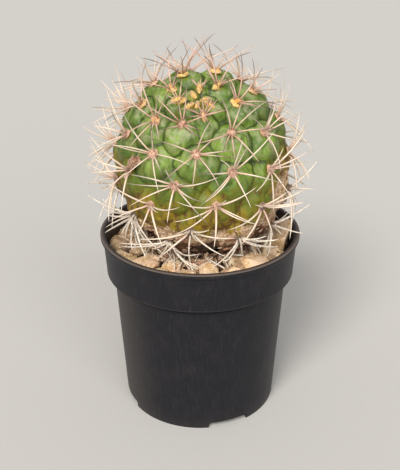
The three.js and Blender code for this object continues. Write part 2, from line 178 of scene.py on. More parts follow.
# Gravel. The chips' shapes are numbered apart from the stones, so that they break in other ways
STONE_HIGHEST = 102
TALL_STONE = {"x": 43.5, "y": -1, "size": 9.5, "top": 107.5}
STONE_GROWTH = 0.45
STONE_CLEARANCE = 0.15
STONE_SHARPNESS = math.radians(38)
CHIP_SHAPES = 12
FIRST_CHIP_SHAPE = 900
DROP_FROM = 130

# Bounds of the scattered pieces: distances from the pot's axis, heights, and sizes
SMALL_CHIPS = {"nearest": 20, "farthest": 50.3, "highest": 96.5, "extra": 0}
LARGE_CHIPS = {"nearest": 20, "farthest": 32, "highest": 98, "extra": 1.8}
LARGE_CHIP_EVERY = 9
CHIP_TURN = 6.28
STRAND_STARTS = (17, 30)
STRAND_ENDS = (24, 36)
HIGHEST_STRAND_START = 108
HIGHEST_STRAND_END = 102
FALLEN_STARTS = (23, 35)
FALLEN_LENGTHS = (8, 17)
LEANING_STARTS = (32, 38)
LEANING_ENDS = (24, 30)
HIGHEST_FALLEN = 104
FARTHEST_FALLEN = 40
PLATE_SPREAD = (17, 31)
PLATE_HEIGHTS = (96, 100.5)
PLATE_SIZES = (0.4, 1.2)
PLATE_SHAPE = np.array([2.6, 1.2, 0.6])
LOWEST_PLATE_ANGLE = 66

# Stage
FLOOR_HALF = 3000
SKY_STRENGTH = 0.42
FRAME_HEIGHT = 36


def draw(a, b, c):
    """A repeatable number from 0 to 1 for each set of three whole numbers, which say what it is drawn for."""
    value = math.sin(a * 12.9898 + b * 78.233 + c * 37.719 + SEED) * 43758.5453
    return value - math.floor(value)


def smoothstep(low, high, value):
    share = np.clip((value - low) / (high - low), 0, 1)
    return share * share * (3 - 2 * share)


def lerp(low, high, share):
    return low + (high - low) * share


def unit(vector):
    return vector / np.linalg.norm(vector, axis=-1, keepdims=True)


def from_front(degrees, radius):
    angle = math.radians(degrees)
    return np.array([radius * math.sin(angle), -radius * math.cos(angle), 0.0])


# Form of the plant
CROWN_X = unit(np.cross([0.0, 1.0, 0.0], CROWN_AXIS))
CROWN_Y = np.cross(CROWN_AXIS, CROWN_X)


def ball_radius(directions):
    """Radius of the ball without its knobs, for one direction or for many."""
    along = directions @ CROWN_AXIS
    drawn_out = BALL_RADIUS / np.sqrt(1 - along**2 + (along / BALL_STRETCH) ** 2)
    below = np.minimum(directions[..., 2], 0)
    fullness = BASE_FULLNESS + BASE_FULLNESS_RIGHT * directions[..., 0]
    return drawn_out * (1 + fullness * 4 * below**2 * (1 - below**2))


def areole_at(index):
    """Direction of one areole and of its knob, with the spacing there, or None past the last of them."""
    step = CAP_SOFTNESS * math.log1p(math.exp((index + CAP_SHIFT) / CAP_SOFTNESS))
    cap = CAP_SCALE * step**CAP_POWER
    if cap > WIDEST_CAP:
        return None
    polar = math.acos(1 - cap)
    turn = SPIRAL_START + index * DIVERGENCE
    tilt = polar * (1 + SWIRL_DRIFT * math.cos(turn - SWIRL_DRIFT_AT))
    spin = turn + SWIRL_TURN * math.cos(turn - SWIRL_TURN_AT)

    def on_ball(angle):
        across = math.cos(spin) * CROWN_X + math.sin(spin) * CROWN_Y
        return unit(math.sin(angle) * across + math.cos(angle) * CROWN_AXIS)

    growth = 1 / (1 + math.exp(-(index + CAP_SHIFT) / CAP_SOFTNESS))
    spacing = BALL_RADIUS * math.sqrt(2 * math.pi * CAP_SCALE * CAP_POWER * step ** (CAP_POWER - 1) * growth)
    chin = CHIN_SHARE * spacing / BALL_RADIUS
    return {"index": index, "spacing": spacing, "areole": on_ball(tilt), "knob": on_ball(tilt + chin)}


def list_areoles():
    found = [areole_at(index) for index in range(FIRST_AREOLE, LAST_AREOLE + 1)]
    return [
        a for a in found
        if a and BALL_CENTRE[2] + a["areole"][2] * ball_radius(a["areole"]) > LOWEST_AREOLE
    ]


AREOLES = list_areoles()
KNOB_DIRECTIONS = np.array([a["knob"] for a in AREOLES])
KNOB_RADII = np.array([max(KNOB_RADIUS_SHARE * a["spacing"], SMALLEST_KNOB) for a in AREOLES])
KNOB_RISES = np.array(
    [lerp(CROWN_DIP, KNOB_RISE, smoothstep(FIRST_AREOLE, CROWN_EDGE, a["index"])) for a in AREOLES]
)
KNOB_DISTANCES = ball_radius(KNOB_DIRECTIONS) + KNOB_RISES - KNOB_RADII


def knob_reaches(directions):
    """Where rays from the ball's centre leave each knob: one row a ray, one column a knob, 0 for a miss."""
    along = directions @ KNOB_DIRECTIONS.T
    inside = KNOB_RADII**2 - KNOB_DISTANCES**2 * (1 - along**2)
    hit = (along > 0) & (inside > 0)
    return np.where(hit, KNOB_DISTANCES * along + np.sqrt(np.maximum(inside, 0)), 0)


def surface_radius(directions):
    return np.maximum(ball_radius(directions) - CREASE_DEPTH, knob_reaches(directions).max(axis=-1))


def areole_axes(areole):
    """Outward, towards the crown, and to the right when seen from outside."""
    outward = areole["areole"]
    up = unit(CROWN_AXIS - (CROWN_AXIS @ outward) * outward)
    return outward, up, np.cross(up, outward)


def on_clock(axes, degrees):
    angle = math.radians(degrees)
    return math.cos(angle) * axes[1] + math.sin(angle) * axes[2]


def areole_age(index):
    """From 0 for the youngest areole that has a pad to about 1 for the oldest."""
    return (index - FIRST_PAD) / AGE_SPAN


def areole_foot(areole):
    return BALL_CENTRE + areole["areole"] * surface_radius(areole["areole"][None])[0]


def spine_floor(points, above_gravel):
    """Lowest height that a spine may have above the gravel, the rim and the tall stone."""
    out_of_pot = smoothstep(45, 50.5, np.hypot(points[:, 0], points[:, 1]))
    floor = lerp(STONE_HIGHEST + above_gravel, POT_HEIGHT + 1, out_of_pot)
    tall = np.hypot(points[:, 0] - TALL_STONE["x"], points[:, 1] - TALL_STONE["y"])
    over_tall = 1 - smoothstep(TALL_STONE["size"] + 1, TALL_STONE["size"] + 6, tall)
    return lerp(floor, TALL_STONE["top"] + 1.2, over_tall)


# Mesh helpers
def mesh_object(name, vertices, faces, smooth=True):
    """A mesh object from millimetre points, linked to the scene."""
    mesh = bpy.data.meshes.new(name)
    mesh.from_pydata((np.asarray(vertices) * MM).tolist(), [], faces)
    mesh.validate()
    mesh.polygons.foreach_set("use_smooth", [smooth] * len(mesh.polygons))
    mesh.update()
    thing = bpy.data.objects.new(name, mesh)
    bpy.context.scene.collection.objects.link(thing)
    return thing


def paint(thing, name, values):
    """Stores one number a vertex, for the materials to read."""
    attribute = thing.data.attributes.new(name, "FLOAT", "POINT")
    filled = np.broadcast_to(np.asarray(values, np.float32), len(thing.data.vertices))
    attribute.data.foreach_set("value", np.ascontiguousarray(filled))


def finish_piece(thing, material, slot, *nodes):
    """Gives a piece its material, its body and the solids that it stands for. The slot is not used."""
    thing.data.materials.clear()
    thing.data.materials.append(material)
    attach(thing, "root")
    if nodes:
        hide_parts(*nodes)
    return thing


def applied(thing):
    """The mesh with its modifiers applied."""
    bpy.context.view_layer.update()
    evaluated = thing.evaluated_get(bpy.context.evaluated_depsgraph_get())
    mesh = bpy.data.meshes.new_from_object(evaluated)
    thing.modifiers.clear()
    thing.data = mesh
    return thing


class Soup:
    """Vertices, faces and vertex numbers that many small shapes are gathered in."""

    def __init__(self):
        self.vertices = []
        self.faces = []
        self.numbers = {}

    def add(self, vertices, faces, **numbers):
        first = len(self.vertices)
        self.vertices.extend(np.asarray(vertices).tolist())
        self.faces.extend([[first + i for i in face] for face in faces])
        for name, values in numbers.items():
            filled = np.broadcast_to(values, len(vertices)).tolist()
            self.numbers.setdefault(name, []).extend(filled)

    def make(self, name, smooth=True):
        thing = mesh_object(name, self.vertices, self.faces, smooth)
        for number, values in self.numbers.items():
            paint(thing, number, values)
        return thing


def circle(radius, height, sides):
    """Points round the pot's axis."""
    angles = 2 * math.pi * np.arange(sides) / sides
    return [(radius * math.cos(a), radius * math.sin(a), height) for a in angles]


def ring_faces(rings, sides):
    """Faces between rings of vertices that follow one another."""
    return [
        [low + i, low + (i + 1) % sides, low + sides + (i + 1) % sides, low + sides + i]
        for low in range(0, (rings - 1) * sides, sides) for i in range(sides)
    ]


def tapered_tube(path, radii, sides):
    """Vertices and faces of a tube along a path that ends in a point."""
    path = np.asarray(path, float)
    tangents = unit(np.gradient(path, axis=0))
    helper = np.array([0.0, 0.0, 1.0]) if abs(tangents[0][2]) < 0.9 else np.array([1.0, 0.0, 0.0])
    across = unit(np.cross(tangents, helper))
    third = np.cross(tangents, across)
    angles = 2 * math.pi * np.arange(sides) / sides
    rings = [
        point + radius * (np.cos(angles)[:, None] * a + np.sin(angles)[:, None] * b)
        for point, radius, a, b in zip(path[:-1], radii, across[:-1], third[:-1])
    ]
    vertices = np.vstack([*rings, path[-1:]])
    tip = len(vertices) - 1
    faces = [list(range(sides))[::-1], *ring_faces(len(rings), sides)]
    last = (len(rings) - 1) * sides
    faces.extend([[last + i, last + (i + 1) % sides, tip] for i in range(sides)])
    return vertices, faces


def along_tube(shares, sides):
    """The share of its length at which each vertex of a tapered tube lies."""
    return np.append(np.repeat(shares[:-1], sides), 1.0)


def taken_from(bm):
    """Vertices and faces of a bmesh, which is then freed."""
    vertices = np.array([v.co for v in bm.verts])
    faces = [[v.index for v in f.verts] for f in bm.faces]
    bm.free()
    return vertices, faces


def icosphere(subdivisions):
    """Unit vertices and faces of an icosphere."""
    bm = bmesh.new()
    bmesh.ops.create_icosphere(bm, subdivisions=subdivisions, radius=1)
    return taken_from(bm)


def noise_at(points, size_mm, offset=0.0):
    """Smooth noise from -1 to 1 at millimetre points, with lumps of about the given size."""
    scaled = np.asarray(points) / size_mm + offset
    return np.array([noise.noise(Vector(p)) for p in scaled])


def noise_vectors(points, size_mm):
    """Three noises at each point, to push it about with."""
    return np.stack([noise_at(points, size_mm, 20.0 * k) for k in (1, 2, 3)], axis=1)


# Material helpers
EASED = {"interpolation_type": "SMOOTHSTEP"}
COLOURS = {"data_type": "RGBA"}


def linear(code):
    """An sRGB hex colour as linear RGBA."""
    parts = [int(code[i:i + 2], 16) / 255 for i in (1, 3, 5)]
    return tuple(p / 12.92 if p <= 0.04045 else ((p + 0.055) / 1.055) ** 2.4 for p in parts) + (1.0,)


def per_mm(size_mm):
    """Texture scale, in repeats a metre, of a pattern whose lumps are this many millimetres."""
    return 1000 / size_mm


def add_node(tree, kind, *inputs, output=None, **settings):
    """Adds a node with its settings, and gives back the named output or else the first.

    Its inputs are filled or linked in the order that it shows them. A hex colour is made linear, and None
    leaves an input as it is.
    """
    node = tree.nodes.new("ShaderNode" + kind)
    for name, value in settings.items():
        setattr(node, name, value)
    for socket, value in zip([s for s in node.inputs if s.enabled], inputs):
        if isinstance(value, bpy.types.NodeSocket):
            tree.links.new(value, socket)
        elif value is not None:
            socket.default_value = linear(value) if isinstance(value, str) else value
    return node.outputs[output] if output else next((s for s in node.outputs if s.enabled), None)


def start_material(name, painted, **surface):
    """A new material with its tree, its shader, its position socket and the painted numbers that it reads."""
    material = bpy.data.materials.new(name)
    material.use_nodes = True
    tree = material.node_tree
    tree.nodes.clear()
    shader = add_node(tree, "BsdfPrincipled").node
    for socket, value in surface.items():
        shader.inputs[socket].default_value = value
    add_node(tree, "OutputMaterial", shader.outputs["BSDF"])
    place = add_node(tree, "TexCoord", output="Object")
    numbers = [add_node(tree, "Attribute", output="Fac", attribute_name=number) for number in painted]
    return material, tree, shader, place, numbers


def layered(tree, colour, *layers):
    """Colours laid one over another, each by its mask, the mask's range and the most that it covers."""
    for mask, low, high, most, over in layers:
        share = add_node(tree, "MapRange", mask, low, high, 0.0, most, **EASED)
        colour = add_node(tree, "Mix", share, colour, over, **COLOURS)
    return colour


def ragged(tree, mask, pattern, low, high, spread):
    """A mask with a broken edge: the pattern's range moves it down or up by as much as the spread."""
    shift = add_node(tree, "MapRange", pattern, low, high, -spread, spread, **EASED)
    return add_node(tree, "Math", mask, shift, operation="ADD")


def surfaced(tree, shader, colour, *bumps, roughness=None):
    """Gives the shader its colour, roughness and relief: each bump's height, strength and depth in mm."""
    tree.links.new(colour, shader.inputs["Base Color"])
    if roughness is not None:
        tree.links.new(roughness, shader.inputs["Roughness"])
    normal = None
    for height, strength, depth_mm in bumps:
        normal = add_node(tree, "Bump", strength, depth_mm * MM, None, height, normal)
    tree.links.new(normal, shader.inputs["Normal"])


# Materials
def polypropylene(settings):
    """Black polypropylene, injection moulded: satin, faintly pebbled, with dust and soil rubbed into it,
    painted highlights on the lip and the collar's edge, a left side painted lighter and a painted shadow
    under the collar.
    """
    material, tree, shader, place, (grime_and_sheen, collar_shadow) = start_material(
        "moulded_black_polypropylene", ("grime_and_sheen", "collar_shadow"), **{"IOR": 1.49, "Specular IOR Level": 0.22})
    drawn_down = add_node(tree, "Mapping", place, None, None, (1, 1, 0.08))
    patches = add_node(tree, "TexNoise", place, per_mm(11), 5, 0.55)
    streaks = add_node(tree, "TexNoise", drawn_down, per_mm(0.9), 5, 0.6)
    specks = add_node(tree, "TexNoise", place, per_mm(0.6), 2, 0.5)
    # The mould's pebble and the finest dust are under 0.2 mm, and are drawn this coarse so that they show
    pebble = add_node(tree, "TexNoise", place, per_mm(0.5), 3, 0.6)
    ripple = add_node(tree, "TexNoise", drawn_down, per_mm(2.6), 2, 0.5)
    # Dust, with the painted highlights and light from the painted number, all towards the dust colour
    dust_and_sheen = add_node(tree, "MapRange", patches, 0.45, 0.80, 0.0, 0.025, **EASED)
    for more in (
        add_node(tree, "MapRange", streaks, 0.50, 0.78, 0.0, 0.05, **EASED),
        add_node(tree, "MapRange", specks, 0.66, 0.74, 0.0, 0.13, **EASED),
        grime_and_sheen,
    ):
        dust_and_sheen = add_node(tree, "Math", dust_and_sheen, more, operation="ADD")
    colour = add_node(tree, "Mix", dust_and_sheen, settings.plastic, settings.dust_and_sheen, **COLOURS)
    # Painted shadow: the band under the collar is painted darker
    collar_shadow_share = add_node(tree, "Math", collar_shadow, 0.8, operation="MULTIPLY")
    colour = add_node(tree, "Mix", collar_shadow_share, colour, settings.clean, **COLOURS)
    roughness = add_node(tree, "MapRange", dust_and_sheen, 0.0, 0.5, 0.46, 0.75, **EASED)
    surfaced(tree, shader, colour, (pebble, 0.18, 0.25), (ripple, 0.10, 0.4), roughness=roughness)
    return material


def cactus_skin(settings):
    """Living cactus skin: waxy green with a grey bloom, yellowing, browning and corking towards its base,
    with painted shade at the bottom of the creases, in the cork's cracks and on the underside.
    """
    material, tree, shader, place, (open_skin, bloom, age, corked, rim) = start_material(
        "waxy_cactus_skin", ("open_skin", "bloom", "yellowing", "cork", "rim"),
        **{"IOR": 1.42, "Subsurface Weight": 0.05, "Subsurface Scale": 0.001,
           "Subsurface Radius": (1, 0.9, 0.4)})
    drawn_out = add_node(tree, "Mapping", place, None, None, (1, 1, 0.3))
    flattened = add_node(tree, "Mapping", place, None, None, (1, 1, 2.6))
    broad = add_node(tree, "TexNoise", place, per_mm(14), 3, 0.5)
    patches = add_node(tree, "TexNoise", place, per_mm(5), 5, 0.6)
    dimples = add_node(tree, "TexNoise", place, per_mm(3), 4, 0.55)
    fine = add_node(tree, "TexNoise", place, per_mm(1.5), 5, 0.7)
    # The skin's pores are under 0.1 mm, and are drawn this coarse so that they show
    pores = add_node(tree, "TexNoise", place, per_mm(0.7), 4, 0.65)
    streaks = add_node(tree, "TexNoise", drawn_out, per_mm(2.4), 5, 0.6)
    scurf = add_node(tree, "TexNoise", drawn_out, per_mm(1.1), 5, 0.7)
    flakes = add_node(tree, "TexNoise", flattened, per_mm(2.4), 4, 0.6)

    green = layered(
        tree, settings.deep_green,
        (broad, 0.36, 0.64, 1.0, settings.bright_green),
        (streaks, 0.46, 0.68, 0.6, settings.fleck),
        (fine, 0.52, 0.72, 0.45, settings.fleck),
        (scurf, 0.52, 0.70, 0.42, settings.scurf),
    )
    wax = add_node(tree, "MapRange", patches, 0.42, 0.66, 0.0, 0.7, **EASED)
    wax = add_node(tree, "Math", wax, bloom, operation="MULTIPLY")
    green = add_node(tree, "Mix", wax, green, settings.bloom, **COLOURS)
    # Painted shade: the skin darkens towards the bottom of each crease
    green = layered(tree, settings.crease_shade, (open_skin, 0.0, 0.7, 1.0, green))

    stained = add_node(tree, "Math", age, 0.9, operation="MULTIPLY")
    off_creases = add_node(tree, "MapRange", open_skin, 0.0, 1.0, 0.0, 0.30, **EASED)
    stain_edge = ragged(tree, stained, streaks, 0.25, 0.75, 0.4)
    stain_edge = add_node(tree, "Math", stain_edge, off_creases, operation="SUBTRACT")
    yellow = layered(tree, settings.yellow, (streaks, 0.38, 0.66, 1.0, settings.olive))
    colour = layered(
        tree, green,
        (ragged(tree, age, patches, 0.2, 0.8, 0.42), 0.10, 0.46, 0.85, settings.lime),
        (ragged(tree, age, broad, 0.2, 0.8, 0.45), 0.48, 0.92, 0.95, yellow),
        (stain_edge, 0.40, 0.80, 0.9, settings.stain),
    )
    # Cork with painted shade in its cracks
    cork = layered(
        tree, settings.cork_crack_shade,
        (fine, 0.35, 0.65, 1.0, settings.cork),
        # Dead skin on the underside, painted darker still as the shade under the ball
        (ragged(tree, corked, streaks, 0.25, 0.75, 0.35), 1.20, 1.55, 0.9, settings.heel_and_shade),
    )
    cork_edge = ragged(tree, corked, patches, 0.2, 0.8, 0.34)
    cork_share = add_node(tree, "MapRange", cork_edge, 0.42, 0.62, 0.0, 1.0, **EASED)
    colour = add_node(tree, "Mix", cork_share, colour, cork, **COLOURS)
    half_rim = add_node(tree, "Math", rim, 0.5, operation="MULTIPLY")
    colour = add_node(tree, "Mix", half_rim, colour, settings.yellow, **COLOURS)

    roughness = add_node(tree, "Math", patches, cork_share, operation="ADD")
    roughness = add_node(tree, "MapRange", roughness, 0.2, 1.3, 0.42, 0.80, **EASED)
    rough_cork = add_node(tree, "Math", flakes, cork_share, operation="MULTIPLY")
    surfaced(
        tree, shader, colour, (pores, 0.30, 0.25), (streaks, 0.42, 0.35), (scurf, 0.35, 0.2),
        (dimples, 0.40, 0.6), (rough_cork, 0.6, 0.6), roughness=roughness)
    return material


def spine_horn(settings):
    """Dry spine tissue, like horn: cream and pinkish tan, brown at the foot, with a dark or bleached tip."""
    material, tree, shader, place, (along, age, darkness) = start_material(
        "dry_horny_spine", ("along", "age", "darkness"),
        **{"IOR": 1.5, "Roughness": 0.45, "Subsurface Weight": 0.05, "Subsurface Scale": 0.0005})
    grain = add_node(tree, "TexNoise", place, per_mm(1.2), 3, 0.6)
    young = layered(
        tree, settings.foot,
        (along, 0.0, 0.35, 1.0, settings.pink),
        (along, 0.55, 1.0, 1.0, settings.tip),
    )
    grown = layered(tree, settings.pink, (along, 0.02, 0.4, 1.0, settings.cream))
    old = layered(tree, settings.bleached, (grain, 0.35, 0.65, 1.0, settings.grey))
    colour = layered(
        tree, young,
        (age, 0.10, 0.34, 1.0, grown),
        (age, 0.57, 0.78, 1.0, old),
        (grain, 0.45, 0.75, 0.26, settings.foot),
    )
    colour = add_node(tree, "Mix", darkness, colour, settings.black_tip, **COLOURS)
    surfaced(tree, shader, colour, (grain, 0.25, 0.12))
    return material


def areole_felt(settings):
    """Areole wool: short matted felt, golden when young, then tan, then grey."""
    material, tree, shader, place, (age, heart, hair) = start_material(
        "matted_areole_felt", ("age", "heart", "hair"),
        **{"IOR": 1.45, "Roughness": 0.95, "Sheen Weight": 0.35, "Sheen Roughness": 0.5})
    # A hair of the wool is about 0.02 mm thick, so this draws whole tufts, which show
    fibre = add_node(tree, "TexNoise", place, per_mm(0.7), 4, 0.7)
    gold, tan, grey = [
        layered(tree, shaded, (fibre, 0.35, 0.65, 1.0, lit))
        for shaded, lit in (
            (settings.deep_gold, settings.gold),
            (settings.brown, settings.tan),
            (settings.dark, settings.grey),
        )
    ]
    heart_share = add_node(tree, "Math", heart, 0.95, operation="MULTIPLY")
    gold = add_node(tree, "Mix", heart_share, gold, settings.heart, **COLOURS)
    colour = layered(tree, gold, (age, 0.15, 0.30, 1.0, tan))
    colour = add_node(tree, "Mix", hair, colour, settings.hair, **COLOURS)
    colour = layered(tree, colour, (age, 0.52, 0.66, 1.0, grey))
    surfaced(tree, shader, colour, (fibre, 0.5, 0.35))
    return material


def gravel_stone(settings):
    """Broken limestone and sandstone: matt, pitted, with ochre and brown stains, and a dark tone that is
    partly painted shade.
    """
    material, tree, shader, place, (warmth, shade) = start_material(
        "weathered_limestone_gravel", ("warmth", "shade"), **{"IOR": 1.5, "Roughness": 0.82})
    large = add_node(tree, "TexNoise", place, per_mm(7), 5, 0.6)
    small = add_node(tree, "TexNoise", place, per_mm(1.6), 5, 0.65)
    # Sand grains of 0.1 to 0.3 mm, drawn a little coarser so that they show
    grain = add_node(tree, "TexNoise", place, per_mm(0.45), 3, 0.6)
    stains = add_node(tree, "Math", large, small, operation="MULTIPLY")
    base = add_node(tree, "Mix", warmth, settings.pale, settings.pink, **COLOURS)
    base = layered(
        tree, base,
        (large, 0.40, 0.66, 1.0, settings.tan),
        (stains, 0.22, 0.34, 0.68, settings.ochre),
        (small, 0.54, 0.72, 0.6, settings.brown),
        (grain, 0.52, 0.75, 0.28, settings.chalk),
    )
    # Dark tone by the shade number: darker towards each stone's foot, painted shade on the left, painted
    # light at the front
    base = add_node(tree, "Mix", shade, base, settings.dirt_and_shade, **COLOURS)
    surfaced(tree, shader, base, (grain, 0.35, 0.25), (small, 0.6, 0.7))
    return material


def potting_mix(settings):
    """Dark potting mix: damp peat, bark and grit."""
    material, tree, shader, place, _ = start_material(
        "dark_potting_mix", (), **{"IOR": 1.4, "Roughness": 0.95})
    crumbs = add_node(tree, "TexNoise", place, per_mm(1.5), 6, 0.7)
    colour = layered(tree, settings.peat, (crumbs, 0.35, 0.7, 1.0, settings.bark))
    surfaced(tree, shader, colour, (crumbs, 0.9, 1.2))
    return material


def dry_fibre(settings):
    """Dead roots and shed skin: dry, matt, brown."""
    material, tree, shader, place, (paleness,) = start_material(
        "dry_root_fibre", ("paleness",), **{"IOR": 1.45, "Roughness": 0.85})
    streak = add_node(tree, "TexNoise", place, per_mm(1.3), 4, 0.65)
    colour = layered(tree, settings.root_dark, (streak, 0.35, 0.65, 1.0, settings.root))
    colour = add_node(tree, "Mix", paleness, colour, settings.root_pale, **COLOURS)
    surfaced(tree, shader, colour, (streak, 0.6, 0.4))
    return material


def flaked_cork(settings):
    """Old cactus cork: dry flakes, cream outside and reddish brown where they peeled, with painted shade in
    the cracks.
    """
    material, tree, shader, place, (paleness,) = start_material(
        "flaked_cactus_cork", ("paleness",), **{"IOR": 1.45, "Roughness": 0.9})
    layers = add_node(tree, "Mapping", place, None, None, (1, 1, 3))
    cracks = add_node(tree, "TexNoise", layers, per_mm(1.8), 5, 0.65)
    colour = add_node(tree, "Mix", paleness, settings.flake_brown, settings.flake_pale, **COLOURS)
    # Painted shade in the cracks
    colour = layered(tree, colour, (cracks, 0.50, 0.68, 0.85, settings.flake_crack_shade))
    surfaced(tree, shader, colour, (cracks, 0.8, 0.6))
    return material


def painted_floor(settings):
    """Plain matt studio floor."""
    material, tree, shader, place, _ = start_material("matt_studio_floor", (), **{"Roughness": 0.9})
    grain = add_node(tree, "TexNoise", place, per_mm(0.8), 3, 0.6)
    colour = layered(tree, settings.floor, (grain, 0.3, 0.7, 1.0, settings.floor_light))
    surfaced(tree, shader, colour, (grain, 0.1, 0.1))
    return material


# Settings of each piece
def hex_colour(name, default, description):
    return StringProperty(name=name, description=description, default=default)


def amount(name, default, description, least, most):
    return IntProperty(name=name, description=description, default=default, min=least, max=most)


def distance(name, default, description, least, most):
    return FloatProperty(
        name=name, description=description, default=default, min=least, max=most,
        subtype="DISTANCE", unit="LENGTH")


class CactusPotSettings(bpy.types.PropertyGroup):
    """Sizes and colours of the pot."""

    sides: amount("Sides", 160, "Faces around the pot", 24, 400)
    corner: distance("Corner radius", 0.00045, "Roundness of the moulded edges", 0.0001, 0.002)
    plastic: hex_colour("Plastic", "#19191e", "Colour of the clean plastic")
    # Painted shadow under the collar
    clean: hex_colour("Clean plastic", "#060608", "Plastic that the collar keeps clean")
    # Dust colour, also used for the painted highlights and the lighter left side
    dust_and_sheen: hex_colour("Dust", "#918174", "Colour of the dust and soil on the plastic")


class CactusBodySettings(bpy.types.PropertyGroup):
    """Detail and colours of the cactus body."""

    subdivisions: amount("Subdivisions", 7, "How finely the ball is divided", 3, 8)
    crease_softness: distance(
        "Crease softness", 0.001, "Roundness at the bottom of the creases", 0.0001, 0.002)
    deep_green: hex_colour("Deep green", "#4b6820", "Skin colour in its darker areas")
    bright_green: hex_colour("Bright green", "#7d983a", "Skin colour in its lighter areas")
    bloom: hex_colour("Bloom", "#a5aa82", "Grey wax on the outer face of the tubercles")
    fleck: hex_colour("Fleck", "#435519", "Fine dark flecks in the skin")
    scurf: hex_colour("Scurf", "#a49a62", "Fine tan scurf on the skin")
    # Painted shade at the bottom of the creases
    crease_shade: hex_colour("Crease", "#364618", "Skin at the bottom of the creases")
    lime: hex_colour("Lime", "#686b17", "Skin that begins to age")
    yellow: hex_colour("Yellow", "#927a1c", "Aged skin in its lighter areas")
    olive: hex_colour("Olive", "#7a651c", "Aged skin in its darker areas")
    stain: hex_colour("Stain", "#5d3f18", "Brown stains in the creases of aged skin")
    cork: hex_colour("Cork", "#e0c6a2", "Old corky skin")
    # Painted shade in the cracks of the corky skin
    cork_crack_shade: hex_colour("Dark cork", "#8f6a4a", "Cracks of the corky skin")
    # Dead skin on the underside, painted darker as the shade under the ball
    heel_and_shade: hex_colour("Heel", "#5f3f2a", "Dead skin on the underside")


class CactusSpineSettings(bpy.types.PropertyGroup):
    """Thickness and colours of the spines."""

    radius: distance("Radius", 0.00052, "Radius of a spine at its foot", 0.0001, 0.002)
    sides: amount("Sides", 6, "Faces around a spine", 3, 12)
    steps: amount("Steps", 9, "Pieces along a spine", 3, 24)
    fallen: amount("Fallen", 110, "Dead spines under the ball", 0, 600)
    foot: hex_colour("Foot", "#a67c66", "Where a spine leaves its areole")
    pink: hex_colour("Pink", "#d6b29d", "Lower part of a spine")
    cream: hex_colour("Cream", "#e9d7c1", "Outer part of a grown spine")
    tip: hex_colour("Tip", "#ae8676", "Tip of a young spine")
    black_tip: hex_colour("Black tip", "#241d1c", "The darkest young tips")
    bleached: hex_colour("Bleached", "#f3ebdc", "Old spines near the soil")
    grey: hex_colour("Grey", "#d3c4b0", "Weathered streaks on old spines")


class CactusAreoleSettings(bpy.types.PropertyGroup):
    """Size and colours of the woolly areoles."""

    radius: distance("Radius", 0.0025, "Half the width of a grown areole", 0.001, 0.005)
    fibres: amount("Fibres", 90, "Loose hairs on one areole", 0, 200)
    gold: hex_colour("Gold", "#f4d996", "Young wool")
    deep_gold: hex_colour("Deep gold", "#dfa94e", "Shaded young wool")
    heart: hex_colour("Heart", "#dd9a35", "Middle of a young pad")
    hair: hex_colour("Hair", "#efdcc4", "Loose pale hairs")
    tan: hex_colour("Tan", "#e4bfa2", "Grown wool")
    brown: hex_colour("Brown", "#b07c62", "Shaded grown wool")
    grey: hex_colour("Grey", "#8a705c", "Old wool")
    dark: hex_colour("Dark", "#36281e", "Shaded old wool")


class CactusGravelSettings(bpy.types.PropertyGroup):
    """Amount and colours of the gravel, the soil and the dry matter on it."""

    chips: amount("Chips", 700, "Small chips among the stones", 0, 3000)
    strands: amount("Strands", 190, "Dead roots under the cactus", 0, 600)
    plates: amount("Plates", 420, "Shed plates of cork", 0, 600)
    pale: hex_colour("Pale", "#f8e6c2", "Pale stone")
    pink: hex_colour("Pink", "#ebc6a6", "Pinkish stone")
    tan: hex_colour("Tan", "#eed1a2", "Tan patches")
    ochre: hex_colour("Ochre", "#c08f52", "Ochre stains")
    brown: hex_colour("Brown", "#96704c", "Brown spots")
    chalk: hex_colour("Chalk", "#f6ead2", "Chalky grain")
    # Darker tone of the stones, partly painted shade
    dirt_and_shade: hex_colour("Dirt", "#4a3523", "Soil on the lower sides")
    peat: hex_colour("Peat", "#1d130c", "Dark soil")
    bark: hex_colour("Bark", "#5e4029", "Lighter crumbs of the soil")
    root: hex_colour("Root", "#6b4a34", "Dry roots")
    root_dark: hex_colour("Dark root", "#2e1e14", "Shaded dry roots")
    root_pale: hex_colour("Pale root", "#c3a384", "Bleached dry roots")
    flake_pale: hex_colour("Pale flake", "#dfc8aa", "Open side of the cork flakes")
    flake_brown: hex_colour("Brown flake", "#8f5238", "Peeled side of the cork flakes")
    # Painted shade in the cracks of the cork flakes
    flake_crack_shade: hex_colour("Crack", "#3a2417", "Cracks of the cork flakes")


class CactusStageSettings(bpy.types.PropertyGroup):
    """Floor, lights and camera."""

    floor: hex_colour("Floor", "#bdbab5", "Darker tone of the floor")
    floor_light: hex_colour("Floor light", "#c4c1bc", "Lighter tone of the floor")
    camera_distance: FloatProperty(
        name="Camera distance", description="From the pot's axis, along the floor", default=0.410,
        subtype="DISTANCE", unit="LENGTH")
    camera_height: FloatProperty(
        name="Camera height", description="Above the floor", default=0.300, subtype="DISTANCE", unit="LENGTH")
    camera_pitch: FloatProperty(
        name="Camera pitch", description="Angle below the horizon", default=math.radians(26.03),
        subtype="ANGLE", unit="ROTATION")
    lens: FloatProperty(
        name="Lens", description="Focal length for a 36 mm tall frame", default=62.81,
        subtype="DISTANCE_CAMERA")
    sky: FloatVectorProperty(
        name="Sky", description="Colour of the light from all round", default=(0.92, 0.92, 0.93),
        subtype="COLOR", size=3)


# Pot
def body_radius(height):
    return lerp(FOOT_RADIUS, BODY_TOP_RADIUS, height / COLLAR_BASE)


def collar_inner_radius(height):
    return lerp(COLLAR_BOTTOM_RADIUS, COLLAR_TOP_RADIUS, (height - COLLAR_BASE) / COLLAR_HEIGHT) - WALL


